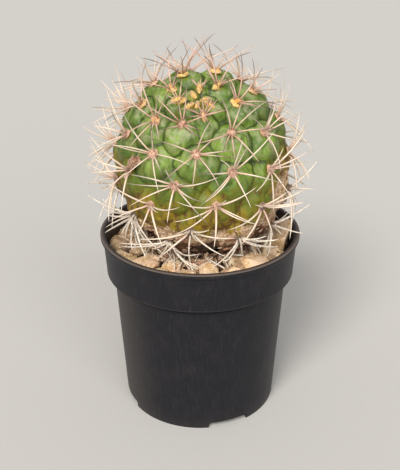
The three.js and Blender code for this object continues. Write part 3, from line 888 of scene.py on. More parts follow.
def rounded_profile(corners, radius):
    """The closed profile with an arc of three points at each corner that lies off the axis."""
    points = []
    for i, corner in enumerate(corners):
        corner = np.array(corner, float)
        if corner[0] == 0:
            points.append(corner)
            continue
        before = np.array(corners[i - 1], float) - corner
        after = np.array(corners[(i + 1) % len(corners)], float) - corner
        cut = min(radius, 0.4 * np.linalg.norm(before), 0.4 * np.linalg.norm(after))
        start, end = corner + cut * unit(before), corner + cut * unit(after)
        points.extend([start, 0.25 * start + 0.5 * corner + 0.25 * end, end])
    return points


def split_profile(points, longest):
    """The profile with its long straights divided, so that the wall's marks have points to sit on."""
    split = []
    for point, following in zip(points, points[1:]):
        pieces = max(1, int(np.linalg.norm(following - point) / longest))
        split.extend([lerp(point, following, k / pieces) for k in range(pieces)])
    return split + [points[-1]]


def pot_corners():
    lip_base = POT_HEIGHT - LIP_HEIGHT
    return [
        (0, FLOOR_UNDERSIDE),
        (body_radius(FLOOR_UNDERSIDE) - WALL, FLOOR_UNDERSIDE),
        (FOOT_RADIUS - WALL, 0),
        (FOOT_RADIUS, 0),
        (body_radius(COLLAR_BASE - 1.4 * COLLAR_SHADE_BAND), COLLAR_BASE - 1.4 * COLLAR_SHADE_BAND),
        (body_radius(COLLAR_BASE - COLLAR_SHADE_BAND), COLLAR_BASE - COLLAR_SHADE_BAND),
        (BODY_TOP_RADIUS, COLLAR_BASE),
        (COLLAR_BOTTOM_RADIUS, COLLAR_BASE),
        (COLLAR_BOTTOM_RADIUS + 0.06, COLLAR_BASE + 0.5),
        (COLLAR_BOTTOM_RADIUS, COLLAR_BASE + 0.9),
        (COLLAR_TOP_RADIUS, lip_base - 0.3),
        (RIM_RADIUS, lip_base + 1.1),
        (RIM_RADIUS, POT_HEIGHT - 0.9),
        (RIM_RADIUS, POT_HEIGHT),
        (collar_inner_radius(POT_HEIGHT), POT_HEIGHT),
        (collar_inner_radius(LEDGE_TOP), LEDGE_TOP),
        (BODY_TOP_RADIUS - WALL, LEDGE_TOP),
        (body_radius(FLOOR_TOP) - WALL, FLOOR_TOP),
        (0, FLOOR_TOP),
    ]


def turned(name, profile, sides):
    """A profile of points turned about the pot's axis, with its ends on the axis."""
    off_axis = [p for p in profile if p[0] > 0]
    vertices = [point for radius, height in off_axis for point in circle(radius, height, sides)]
    faces = ring_faces(len(off_axis), sides)
    faces.extend([list(range(sides))[::-1], list(range(len(vertices) - sides, len(vertices)))])
    return mesh_object(name, vertices, faces)


def extruded(outline, depth):
    """Vertices and faces of a block: an anticlockwise outline in its first two axes, run along its third."""
    count = len(outline)
    vertices = [(x, y, side * depth / 2) for side in (-1, 1) for x, y in outline]
    faces = [[i, (i + 1) % count, count + (i + 1) % count, count + i] for i in range(count)]
    faces.append(list(range(count))[::-1])
    faces.append(list(range(count, 2 * count)))
    return np.array(vertices), faces


def arc(centre, radius, start, end, steps):
    angles = np.radians(np.linspace(start, end, steps))
    return [(centre[0] + radius * math.cos(a), centre[1] + radius * math.sin(a)) for a in angles]


def pot_cutter():
    """Blocks for the notches between the feet, and rods for the drain holes."""
    corner = 0.9
    side, top = NOTCH_WIDTH / 2 - corner, NOTCH_HEIGHT - corner
    arch = [(-NOTCH_WIDTH / 2, -NOTCH_HEIGHT), (NOTCH_WIDTH / 2, -NOTCH_HEIGHT)]
    arch += arc((side, top), corner, 0, 90, 5) + arc((-side, top), corner, 90, 180, 5)
    notch, notch_faces = extruded(arch, FOOT_RADIUS)
    rod, rod_faces = extruded(arc((0, 0), DRAIN_RADIUS, 0, 350, 36), 2 * FLOOR_TOP)
    soup = Soup()
    for azimuth in NOTCH_AZIMUTHS:
        turn = math.radians(azimuth)
        right = np.array([math.cos(turn), math.sin(turn), 0])
        outward = from_front(azimuth, 1)
        upright = np.array([0, 0, 1])
        soup.add(notch @ np.stack([right, upright, outward]) + FOOT_RADIUS * outward, notch_faces)
        soup.add(rod + DRAIN_RING_RADIUS * outward + [0, 0, FLOOR_TOP], rod_faces)
    return soup.make("pot_cutter")


def grimy_and_lit_parts(x, z, radius):
    """How much dust each part of the pot takes in each point of its wall, with painted highlights on the lip
    and the collar's edge and painted light down the left side.
    """
    inner = (radius < body_radius(z) - 0.6 * WALL) & (z > FLOOR_UNDERSIDE)
    inner |= (z > LEDGE_TOP) & (radius < collar_inner_radius(z) + 0.3)
    return {
        "inside": inner * (1 - 0.6 * smoothstep(POT_HEIGHT - 1.0, POT_HEIGHT - 0.3, z)),
        "lip": smoothstep(POT_HEIGHT - 0.5, POT_HEIGHT - 0.1, z) * (radius > RIM_RADIUS - 1),
        "foot": 1 - smoothstep(0, 10, z),
        "collar edge highlight": (radius > COLLAR_BOTTOM_RADIUS) & (np.abs(z - COLLAR_BASE - 0.5) < 0.3),
        "left side sheen": smoothstep(0.50, 0.97, -x / radius.clip(1)) * (z < COLLAR_BASE),
    }


class CACTUS_OT_make_pot(bpy.types.Operator):
    """Makes the nursery pot: collar, lip, feet and drain holes."""

    bl_idname = "cactus.make_pot"
    bl_label = "Make Pot"

    def execute(self, context):
        settings = context.scene.cactus_pot
        profile = rounded_profile(pot_corners(), settings.corner / MM)
        pot = turned("nursery_pot", split_profile(profile, LONGEST_STRAIGHT), settings.sides)
        cutter = pot_cutter()
        cut = pot.modifiers.new("feet", "BOOLEAN")
        cut.operation = "DIFFERENCE"
        cut.object = cutter
        cut.solver = "EXACT"
        applied(pot)
        bpy.data.objects.remove(cutter)
        pot.data.set_sharp_from_angle(angle=POT_SHARPNESS)
        x, y, z = (np.array([v.co for v in pot.data.vertices]) / MM).T
        radius = np.hypot(x, y)
        # Dust, and painted highlights and light, for each part of the wall
        paint(pot, "grime_and_sheen", sum(GRIME_AND_SHEEN[part] * share for part, share in grimy_and_lit_parts(x, z, radius).items()))
        # Painted shadow: a band just under the collar, for the material to darken
        under_collar = (radius < BODY_TOP_RADIUS + 0.1) & (z < COLLAR_BASE)
        paint(pot, "collar_shadow", under_collar * smoothstep(-COLLAR_SHADE_BAND * 1.3, -COLLAR_SHADE_BAND, z - COLLAR_BASE))
        finish_piece(pot, polypropylene(settings), "pot_plastic", "pot")
        return {"FINISHED"}


# Body
def crease_looseness():
    """How round each crease between two knobs is: shallow across a rib and deep beside it."""
    apart = KNOB_DIRECTIONS[None] - KNOB_DIRECTIONS[:, None]
    middle = unit(KNOB_DIRECTIONS[None] + KNOB_DIRECTIONS[:, None])
    poleward = CROWN_AXIS - (middle @ CROWN_AXIS)[..., None] * middle
    lengths = np.linalg.norm(apart, axis=-1) * np.linalg.norm(poleward, axis=-1) + 1e-6
    along_rib = np.abs((apart * poleward).sum(axis=-1)) / lengths
    return lerp(DEEP_CREASE, SHALLOW_CREASE, smoothstep(0.55, 0.98, along_rib))


def soft_surface(directions, looseness):
    """The lumpy surface with its creases rounded off, and how far each point lies from a crease."""
    floor = ball_radius(directions) - CREASE_DEPTH
    reaches = knob_reaches(directions)
    reaches = np.where(reaches > 0, reaches, floor[:, None] - CREASE_DEPTH * 4)
    reaches = np.hstack([reaches, floor[:, None]])
    between = np.pad(crease_looseness(), (0, 1), constant_values=DEEP_CREASE)
    first = reaches.argmax(axis=1)
    highest = reaches.max(axis=1)
    softness = between[first] * looseness[:, None]
    gains = softness * np.log1p(np.exp((reaches - highest[:, None]) / softness))
    gains[np.arange(len(directions)), first] = 0
    ordered = np.sort(reaches, axis=1)
    return highest + gains.sum(axis=1), ordered[:, -1] - ordered[:, -2]


def skin_relief(places, wander, heights):
    """Lumps and folds of the skin, with flaking skin at the base. Amounts and sizes are in millimetres."""
    folds = 1 - np.abs(noise_at((places + wander) * [1.2, 1.2, 0.6], 8, 3.0)) * 2.0
    relief = 0.55 * noise_at(places, 6) + 0.18 * noise_at(places, 2.4, 40.0)
    relief -= 1.3 * np.clip(folds, 0, 1) ** 5
    flaking = smoothstep(-0.2, -0.75, heights)
    return relief + 0.9 * flaking * noise_at(places * [0.7, 0.7, 2.0], 3.0, 11.0)


def paint_skin(ball, directions, lead, to_areole):
    """Stores where the skin is open, waxy, aged, corky or beside an areole."""
    right, _, height = directions.T
    paint(ball, "open_skin", smoothstep(0.0, 3.0, lead))
    waxy = lerp(0.9, 1.35, smoothstep(0.55, 0.9, directions @ CROWN_AXIS))
    paint(ball, "bloom", waxy * smoothstep(1.0, 5.0, lead) * smoothstep(-0.1, 0.6, height))
    flank = 0.35 * smoothstep(0.60, 0.95, np.abs(right)) * smoothstep(0.7, 0.0, height)
    flank += 0.4 * smoothstep(0.72, 0.96, right) * smoothstep(0.6, 0.1, height)
    paint(ball, "yellowing", smoothstep(0.40, -0.66, height) + flank)
    cork = smoothstep(-0.34, -0.72, height)
    cork += 0.8 * smoothstep(0.68, 0.97, right) * smoothstep(0.30, -0.30, height)
    cork += 0.5 * smoothstep(0.30, 0.70, right) * smoothstep(-0.12, -0.50, height)
    # Beyond 1, the underside: dead skin, painted darker as the shade under the ball
    paint(ball, "cork", np.minimum(cork, 1) + smoothstep(-0.58, -0.80, height))
    paint(ball, "rim", 1 - smoothstep(1.8, 3.4, to_areole))


class CACTUS_OT_make_body(bpy.types.Operator):
    """Makes the ball of tubercles with its creases and folds."""

    bl_idname = "cactus.make_body"
    bl_label = "Make Cactus Body"

    def execute(self, context):
        settings = context.scene.cactus_body
        directions, faces = icosphere(settings.subdivisions)
        directions = unit(directions)
        sphere = directions * BALL_RADIUS
        wander = 2.0 * noise_vectors(sphere, 10) + 0.8 * noise_vectors(sphere, 4)
        warped = unit(sphere + wander)
        looseness = settings.crease_softness / MM * (1 + 0.6 * noise_at(sphere, 12, 7.0))
        looseness *= lerp(1.0, 0.5, smoothstep(0.2, 0.85, directions @ CROWN_AXIS))
        radii, lead = soft_surface(warped, looseness)
        places = BALL_CENTRE + directions * radii[:, None]
        relief = skin_relief(places, wander, directions[:, 2])
        to_areole = np.full(len(directions), np.inf)
        for areole in AREOLES:
            to_areole = np.minimum(to_areole, np.linalg.norm(places - areole_foot(areole), axis=1))
        near_areole = 1 - smoothstep(1.5, 4.5, to_areole)
        radii = radii + relief * (1 - near_areole) - PIT_DEPTH * near_areole
        ball = mesh_object("cactus_body", BALL_CENTRE + directions * radii[:, None], faces)
        paint_skin(ball, directions, lead, to_areole)
        finish_piece(ball, cactus_skin(settings), "cactus_flesh", "cactus")
        return {"FINISHED"}


class CACTUS_OT_make_neck(bpy.types.Operator):
    """Makes the rough root neck between the ball and the soil."""

    bl_idname = "cactus.make_neck"
    bl_label = "Make Root Neck"

    def execute(self, context):
        sides, levels = 72, 22
        vertices = []
        for height in np.linspace(SOIL_TOP - 4, BALL_CENTRE[2] - BALL_RADIUS + 8, levels):
            flare = 2.5 * smoothstep(98, 106, height)
            vertices.extend(circle(ROOT_TOP_RADIUS - 1.5 + flare, height, sides))
        vertices = np.array(vertices) + [0.3, 0, 0]
        rough = 0.8 * noise_at(vertices * [1, 1, 0.5], 4) + 0.5 * noise_at(vertices, 1.6)
        vertices[:, :2] *= (1 + rough / ROOT_TOP_RADIUS)[:, None]
        neck = mesh_object("root_neck", vertices, ring_faces(levels, sides))
        paint(neck, "paleness", 0.25)
        finish_piece(neck, dry_fibre(context.scene.cactus_gravel), "cactus_flesh")
        return {"FINISHED"}


# Spines
def spine_path(areole, axes, foot, rule, order, steps):
    """Centre line of one spine in millimetres, from inside its areole to its tip."""
    index = areole["index"]
    age = smoothstep(0, OLD_AGE, index)
    lift = lerp(YOUNG_LIFT, OLD_LIFT, age) + rule["lift"] * age + LIFT_SPREAD * (draw(index, order, 2) - 0.5)
    left_flank = smoothstep(0.5, 0.85, -axes[0][0]) * smoothstep(-0.15, 0.35, axes[0][2])
    lift = math.radians(lift + LEFT_LIFT * left_flank)
    along = on_clock(axes, rule["clock"] + CLOCK_SPREAD * (draw(index, order, 1) - 0.5))
    hook = SPINE_HOOK * (0.7 + 0.8 * draw(index, order, 8))
    start = math.cos(lift) * along + math.sin(lift) * axes[0]
    youth = smoothstep(FIRST_PAD - 1, CROWN_EDGE, index)
    length = rule["share"] * youth * lerp(SPINE_SHORTEST, SPINE_LONGEST, draw(index, order, 3))
    seat = foot + 0.92 * along + 0.7 * axes[0]
    sway = np.cross(axes[0], along) * (draw(index, order, 4) - 0.5) * 0.34

    def at(shares):
        shares = np.asarray(shares, float)[:, None]
        points = seat + start * length * shares - axes[0] * length * hook * shares**2
        points = points + sway * length * shares**2
        low = np.minimum(spine_floor(points, 0.4), seat[2] + STEEPEST_BEND * length * shares[:, 0])
        over = (points[:, 2] - low) / BEND_SOFTNESS
        eased = low + BEND_SOFTNESS * np.logaddexp(0, over)
        points[:, 2] = lerp(points[:, 2], eased, smoothstep(0, 0.3, shares[:, 0]))
        return points

    def out_of_bounds(tip):
        return math.hypot(tip[0], tip[1]) > REACH or tip[2] > HIGHEST_TIP

    while out_of_bounds(at([1.0])[0]):
        length *= 0.99
    shares = np.linspace(0, 1, steps + 1)
    points = at(shares)
    points[0] -= SPINE_ROOT * axes[0]
    return points, shares, length


class CACTUS_OT_make_spines(bpy.types.Operator):
    """Makes the spines of every areole, thick at the foot and fine at the tip."""

    bl_idname = "cactus.make_spines"
    bl_label = "Make Spines"

    def execute(self, context):
        settings = context.scene.cactus_spines
        soup = Soup()
        for areole in AREOLES:
            index = areole["index"]
            if index < FIRST_PAD:
                continue
            axes = areole_axes(areole)
            foot = areole_foot(areole)
            for order, rule in enumerate(SPINE_RULE):
                if draw(index, order, 9) > rule["odds"]:
                    continue
                points, shares, length = spine_path(areole, axes, foot, rule, order, settings.steps)
                thick = settings.radius / MM * (0.85 + 0.35 * draw(index, order, 5))
                thick *= min(1, 0.45 + length / 28)
                thick *= lerp(0.80, 1.35, smoothstep(8, 60, index))
                radii = thick * (1 - SPINE_TAPER * shares[:-1] ** 1.5)
                vertices, faces = tapered_tube(points, radii, settings.sides)
                along = along_tube(shares, settings.sides)
                age = np.clip(areole_age(index) + 0.10 * (draw(index, order, 6) - 0.5), 0, 1)
                dark = 0.0
                if index < LAST_DARK_TIPS and draw(index, order, 7) > 0.5:
                    dark = 0.25 + 0.65 * draw(index, order, 10)
                soup.add(vertices, faces, along=along, age=age, darkness=dark * smoothstep(0.25, 0.8, along))
        spines = soup.make("spines")
        finish_piece(spines, spine_horn(settings), "spines", "cactus")
        return {"FINISHED"}


# Areoles
def pad_shape():
    """Upper part of a unit ball, with its foot left open."""
    vertices, faces = icosphere(3)
    keep = vertices[:, 2] > -0.35
    number = np.cumsum(keep) - 1
    kept = [[int(number[i]) for i in face] for face in faces if all(keep[i] for i in face)]
    return vertices[keep], kept


def hair_path(index, hair, size, radius):
    """Path of one loose hair of a pad, in the pad's own axes."""
    angle = 2 * math.pi * draw(index, 21, hair)
    spread = math.sqrt(draw(index, 22, hair))
    cosine, sine = math.cos(angle), math.sin(angle)
    base = size * [spread * cosine, spread * sine, math.sqrt(1 - 0.9 * spread**2)]
    lean = np.array([cosine, sine, 0.9 + 0.8 * draw(index, 23, hair)])
    lean[:2] += 0.9 * (np.array([draw(index, 24, hair), draw(index, 25, hair)]) - 0.5)
    length = radius * (0.25 + 0.35 * draw(index, 26, hair))
    tip = base + unit(lean) * length
    return np.array([base * 0.85, lerp(base, tip, 0.55), tip - [0, 0, 0.1 * length]])


class CACTUS_OT_make_areoles(bpy.types.Operator):
    """Makes the woolly areoles: a matted pad with loose hairs around it."""

    bl_idname = "cactus.make_areoles"
    bl_label = "Make Areoles"

    def execute(self, context):
        settings = context.scene.cactus_areoles
        ball, ball_faces = pad_shape()
        soup = Soup()
        for areole in AREOLES:
            index = areole["index"]
            outward, up, side = areole_axes(areole)
            foot = areole_foot(areole)
            youth = 1 - smoothstep(3, 16, index)
            grown = smoothstep(FIRST_AREOLE, 1, index)
            front = smoothstep(-0.50, -0.72, outward[1])
            radius = settings.radius / MM * lerp(0.6, 1.0, grown) * lerp(0.85, lerp(1.0, 0.75, front), youth)
            radius *= 0.9 + 0.25 * draw(index, 20, 1)
            stretch = lerp(1.0, 0.85 + 0.75 * draw(index, 20, 2), youth)
            unopened = 1 - smoothstep(0, 5, index)
            stretch = lerp(stretch, 0.5 + 0.2 * draw(index, 20, 3), unopened)
            size = radius * np.array([stretch, 1.3 / math.sqrt(stretch), lerp(0.5, 0.85, youth)])
            basis = np.stack([side, up, outward])
            local = ball * size
            rough = noise_at(local + index * 7.3, 1.8) + 0.5 * noise_at(local - index, 0.7)
            local = local * (1 + 0.24 * rough)[:, None]
            age = np.clip(areole_age(index + FRONT_TANNING * front * youth), 0, 1)
            heart = (1 - smoothstep(0.4, 1.0, np.hypot(ball[:, 0], ball[:, 1]))) * (1 - 0.7 * unopened)
            soup.add(foot + local @ basis - 0.15 * outward, ball_faces, age=age, heart=heart, hair=0.0)
            for hair in range(settings.fibres):
                path = hair_path(index, hair, size, radius)
                vertices, faces = tapered_tube(foot + path @ basis, HAIR_RADII, 3)
                soup.add(vertices, faces, age=age, heart=0.0, hair=0.8 * draw(index, 27, hair))
        wool = soup.make("areole_wool")
        finish_piece(wool, areole_felt(settings), "areole_wool")
        return {"FINISHED"}


def flower_trumpet(foot, along, across, lifted):
    """Vertices, faces and paleness of the ribbed trumpet, and the middle of its mouth. The paleness is
    painted: darker in the grooves as shade and paler on the ribs as highlight.
    """
    levels, sides = 26, 48
    vertices, depth = [], []
    for level in range(levels):
        share = level / (levels - 1)
        width = FLOWER_WIDTH / 2 * (0.34 + 0.66 * smoothstep(0, 0.75, share))
        width *= 1 - 0.25 * smoothstep(0.8, 1, share)
        middle = along * FLOWER_LENGTH * share + lifted * (0.9 - 1.2 * share**2)
        for turn in 2 * math.pi * np.arange(sides) / sides:
            rib = math.cos(FLOWER_RIBS * (turn + 0.5 * share))
            outward = math.cos(turn) * across + FLOWER_FLATNESS * math.sin(turn) * lifted
            vertices.append(foot + middle + outward * (width * (1 + 0.20 * rib)))
            # Painted shade and highlight: darker in the grooves between the ribs, paler on the ribs
            depth.append(0.5 - 0.5 * rib)
    vertices = np.array(vertices)
    middles = np.repeat(vertices.reshape(levels, sides, 3).mean(axis=1), sides, axis=0)
    rough = 0.22 * noise_at(vertices, 2.6) + 0.07 * noise_at(vertices, 1.1, 5.0)
    vertices += (vertices - middles) * rough[:, None]
    faces = ring_faces(levels, sides)
    faces.extend([list(range(sides))[::-1], list(range((levels - 1) * sides, levels * sides))])
    return vertices, faces, 0.70 - 0.6 * np.array(depth), middles[-1]


class CACTUS_OT_make_flower(bpy.types.Operator):
    """Makes the shrivelled flower that still hangs on one areole."""

    bl_idname = "cactus.make_flower"
    bl_label = "Make Dried Flower"

    def execute(self, context):
        areole = next(a for a in AREOLES if a["index"] == FLOWER_AREOLE)
        axes = areole_axes(areole)
        along = unit(on_clock(axes, FLOWER_CLOCK) + 0.25 * axes[0])
        across = unit(np.cross(axes[0], along))
        lifted = np.cross(along, across)
        vertices, faces, paleness, mouth = flower_trumpet(areole_foot(areole), along, across, lifted)
        soup = Soup()
        soup.add(vertices, faces, paleness=paleness)
        for petal in range(FLOWER_PETALS):
            turn = 2 * math.pi * draw(petal, 81, 1)
            outward = math.cos(turn) * across + FLOWER_FLATNESS * math.sin(turn) * lifted
            start = mouth + 0.36 * FLOWER_WIDTH * outward - 1.5 * along
            toward = unit(along + 0.35 * outward)
            length = 2 + 1.8 * draw(petal, 81, 2)
            shares = np.linspace(0, 1, 4)[:, None]
            path = start + toward * length * shares - lifted * 0.8 * shares**2
            ribbon, ribbon_faces = tapered_tube(path, [0.5, 0.5, 0.3], 4)
            soup.add(ribbon, ribbon_faces, paleness=0.2 + 0.6 * draw(petal, 81, 3))
        flower = soup.make("dried_flower")
        finish_piece(flower, flaked_cork(context.scene.cactus_gravel), "cactus_flesh")
        return {"FINISHED"}


# Gravel
def underside(x, y):
    """Height of the ball's underside over a spot, at its fullest."""
    widest = BALL_RADIUS * (1 + BASE_FULLNESS + BASE_FULLNESS_RIGHT)
    across = min(math.hypot(x - BALL_CENTRE[0], y - BALL_CENTRE[1]), widest)
    return BALL_CENTRE[2] - math.sqrt(widest**2 - across**2)


def broken(bm, order, cuts, least, most):
    """Breaks caps off a convex shape with seeded planes, as crushed rock has its corners broken off."""
    for cut in range(cuts):
        places = np.array([v.co for v in bm.verts])
        toward = unit(np.array([draw(order, 60 + k, cut) - 0.5 for k in range(3)]) + [0, 0, 0.12])
        reach = places @ toward
        low, high = reach.min(), reach.max()
        level = lerp(high, low, lerp(least, most, draw(order, 63, cut)))
        geometry = bm.verts[:] + bm.edges[:] + bm.faces[:]
        bmesh.ops.bisect_plane(
            bm, geom=geometry, plane_co=toward * level, plane_no=toward, clear_outer=True)
        hull = bmesh.ops.convex_hull(bm, input=bm.verts)
        spare = [v for v in hull["geom_interior"] + hull["geom_unused"] if isinstance(v, bmesh.types.BMVert)]
        bmesh.ops.delete(bm, geom=list(set(spare)), context="VERTS")
    bmesh.ops.dissolve_limit(bm, angle_limit=math.radians(4), verts=bm.verts, edges=bm.edges)


def divided(bm, longest):
    """Divides a mesh so that few edges are longer than the given length."""
    for _ in range(4):
        bmesh.ops.triangulate(bm, faces=bm.faces)
        long_edges = [e for e in bm.edges if e.calc_length() > longest]
        bmesh.ops.subdivide_edges(bm, edges=long_edges, cuts=1)
    bmesh.ops.triangulate(bm, faces=bm.faces)


def stone_mesh(node, order):
    """A finer stone in the space of its solid: broken faces, worn edges and a pitted surface."""
    bm = bmesh.new()
    bm.from_mesh(frame["nodes"][node].data)
    bmesh.ops.scale(bm, vec=(1 / MM, 1 / MM, 1 / MM), verts=bm.verts)
    bmesh.ops.remove_doubles(bm, verts=bm.verts, dist=0.01)
    before = np.array([v.co for v in bm.verts])
    broken(bm, order, cuts=9, least=0.08, most=0.22)
    cut = np.array([v.co for v in bm.verts])
    growth = np.ptp(before, axis=0) / np.ptp(cut, axis=0)
    for vertex in bm.verts:
        vertex.co = Vector(before.min(axis=0) + (np.array(vertex.co) - cut.min(axis=0)) * growth)
    bmesh.ops.bevel(bm, geom=bm.edges, offset=0.3, segments=2, affect="EDGES", profile=0.6)
    divided(bm, longest=1.3)
    bm.normal_update()
    normals = np.array([v.normal for v in bm.verts])
    places, faces = taken_from(bm)
    # The amounts and the sizes of the relief are in millimetres
    shift = order * 13.7
    ledges = np.round(noise_at(places * [1, 1, 1.8], 6.0, shift) * 4) / 4
    relief = 0.16 * noise_at(places, 4.5, shift) + 0.34 * ledges
    relief += 0.20 * noise_at(places, 1.7, shift + 5) + 0.12 * noise_at(places, 0.8, shift + 9)
    places = places + normals * (relief + STONE_GROWTH)[:, None]
    from_axis = np.hypot(places[:, 0], places[:, 1])
    wall = collar_inner_radius(places[:, 2]) - STONE_CLEARANCE
    places[:, :2] *= np.minimum(1, wall / from_axis)[:, None]
    return places, faces


class CACTUS_OT_make_stones(bpy.types.Operator):
    """Makes one finer stone for each stone of the gravel."""

    bl_idname = "cactus.make_stones"
    bl_label = "Make Stones"

    def execute(self, context):
        settings = context.scene.cactus_gravel
        material = gravel_stone(settings)
        names = sorted(name for name in frame["nodes"] if name.startswith("stone_"))
        for order, name in enumerate(names):
            places, faces = stone_mesh(name, order)
            stone = mesh_object(name.replace("stone", "rock"), places, faces)
            stone.data.set_sharp_from_angle(angle=STONE_SHARPNESS)
            low = places[:, 2].min()
            # Darker towards each stone's foot, with a random tone for each stone
            dirt_and_shade = 0.7 * (1 - smoothstep(low + 1, low + 6, places[:, 2])) + 0.30 * draw(order, 31, 2) ** 2
            # Painted shade: the stones on the left are darker
            dirt_and_shade += 0.16 * smoothstep(15, 35, -places[:, 0].mean())
            # Painted light: the stones at the front are lighter
            front_light = smoothstep(14, 34, -places[:, 1].mean())
            dirt_and_shade += 0.19 * (1 - front_light)
            paint(stone, "warmth", draw(order, 31, 1))
            paint(stone, "shade", np.clip(dirt_and_shade * lerp(1.15, 0.1, front_light), 0, 1))
            finish_piece(stone, material, "gravel", name)
        return {"FINISHED"}


def chip_shape(order):
    """A small broken stone about two across, for chips."""
    bm = bmesh.new()
    bmesh.ops.create_icosphere(bm, subdivisions=1, radius=1)
    broken(bm, FIRST_CHIP_SHAPE + order, cuts=11, least=0.02, most=0.14)
    bmesh.ops.bevel(bm, geom=bm.edges, offset=0.04, segments=1, affect="EDGES", profile=0.6)
    divided(bm, longest=0.9)
    places, faces = taken_from(bm)
    places *= 1 + 0.10 * noise_at(places, 0.5, order * 3.3)[:, None]
    return places, faces


def ground_tree():
    """The stones and the soil's surface as one tree to drop things on, in millimetres."""
    vertices, faces = [], []
    for thing in bpy.data.objects:
        if thing.name.startswith("rock_") or thing.name == "soil_crumbs":
            first = len(vertices)
            vertices.extend([v.co / MM for v in thing.data.vertices])
            faces.extend([[first + i for i in p.vertices] for p in thing.data.polygons])
    return BVHTree.FromPolygons(vertices, faces)


def ground_height(tree, x, y):
    """Height of the ground under a spot, or None outside it."""
    place = tree.ray_cast(Vector((x, y, DROP_FROM)), Vector((0, 0, -1)))[0]
    return None if place is None else place.z


class CACTUS_OT_make_soil(bpy.types.Operator):
    """Makes the crumbly surface of the soil, and gives the soil its material."""

    bl_idname = "cactus.make_soil"
    bl_label = "Make Soil"

    def execute(self, context):
        material = potting_mix(context.scene.cactus_gravel)
        solid = frame["nodes"]["soil"]
        solid.data.materials.clear()
        solid.data.materials.append(material)
        rings, sides = 40, 150
        outer = collar_inner_radius(SOIL_TOP) - 0.4
        vertices = []
        for ring in range(rings + 1):
            vertices.extend(circle(lerp(ROOT_TOP_RADIUS - 2, outer, ring / rings), SOIL_TOP, sides))
        vertices = np.array(vertices)
        mound = 5.5 * (1 - smoothstep(20, 34, np.hypot(vertices[:, 0], vertices[:, 1])))
        vertices[:, 2] += 2.4 + mound + 1.3 * noise_at(vertices, 4) + 0.7 * noise_at(vertices, 1.4)
        facing_up = [[a, d, c, b] for a, b, c, d in ring_faces(rings + 1, sides)]
        crumbs = mesh_object("soil_crumbs", vertices, facing_up)
        finish_piece(crumbs, material, "potting_soil")
        return {"FINISHED"}


class CACTUS_OT_make_chips(bpy.types.Operator):
    """Scatters small chips of stone in the gaps between the stones."""

    bl_idname = "cactus.make_chips"
    bl_label = "Make Chips"

    def execute(self, context):
        settings = context.scene.cactus_gravel
        tree = ground_tree()
        shapes = [chip_shape(order) for order in range(CHIP_SHAPES)]
        soup = Soup()
        for chip in range(settings.chips):
            bounds = SMALL_CHIPS if chip % LARGE_CHIP_EVERY else LARGE_CHIPS
            radius = math.sqrt(lerp(bounds["nearest"] ** 2, bounds["farthest"] ** 2, draw(chip, 41, 1)))
            x, y, _ = from_front(360 * draw(chip, 41, 2), radius)
            size = 0.5 + 1.5 * draw(chip, 41, 3) ** 2 + bounds["extra"]
            height = ground_height(tree, x, y)
            if height is None or height > bounds["highest"] or height + 1.6 * size > underside(x, y):
                continue
            shape, faces = shapes[chip % CHIP_SHAPES]
            angle = CHIP_TURN * draw(chip, 43, 1)
            cosine, sine = math.cos(angle), math.sin(angle)
            spin = np.array([[cosine, -sine, 0], [sine, cosine, 0], [0, 0, 1]])
            places = (shape * [1.25, 0.95, 0.7]) @ spin * size + [x, y, height + 0.35 * size]
            soup.add(places, faces, warmth=draw(chip, 44, 1), shade=0.35 * draw(chip, 44, 2))
        chips = soup.make("gravel_chips", smooth=False)
        finish_piece(chips, gravel_stone(settings), "gravel")
        return {"FINISHED"}


class CACTUS_OT_make_roots(bpy.types.Operator):
    """Makes the dead roots in the shade under the ball."""

    bl_idname = "cactus.make_roots"
    bl_label = "Make Dry Roots"

    def execute(self, context):
        settings = context.scene.cactus_gravel
        tree = ground_tree()
        soup = Soup()
        for strand in range(settings.strands):
            azimuth = 360 * draw(strand, 51, 1)
            inner = from_front(azimuth, lerp(*STRAND_STARTS, draw(strand, 51, 2)))
            azimuth += 40 * (draw(strand, 51, 3) - 0.5)
            outer = from_front(azimuth, lerp(*STRAND_ENDS, draw(strand, 51, 4)))
            top = min(underside(inner[0], inner[1]) + 1.0, HIGHEST_STRAND_START)
            ground = ground_height(tree, outer[0], outer[1])
            if ground is None:
                continue
            shares = np.linspace(0, 1, 13)
            path = lerp(inner, outer, shares[:, None])
            path[:, 2] = lerp(top, min(ground + 0.4, HIGHEST_STRAND_END), shares**0.7)
            path += 2.6 * noise_vectors(path + 17.3 * strand, 6) + 0.8 * noise_vectors(path - strand, 2)
            radii = lerp(0.55, 0.16, shares[:-1]) * (0.6 + 0.9 * draw(strand, 55, 1))
            vertices, faces = tapered_tube(path, radii, 5)
            soup.add(vertices, faces, paleness=draw(strand, 56, 1) ** 2)
        roots = soup.make("dry_roots")
        finish_piece(roots, dry_fibre(settings), "potting_soil")
        return {"FINISHED"}


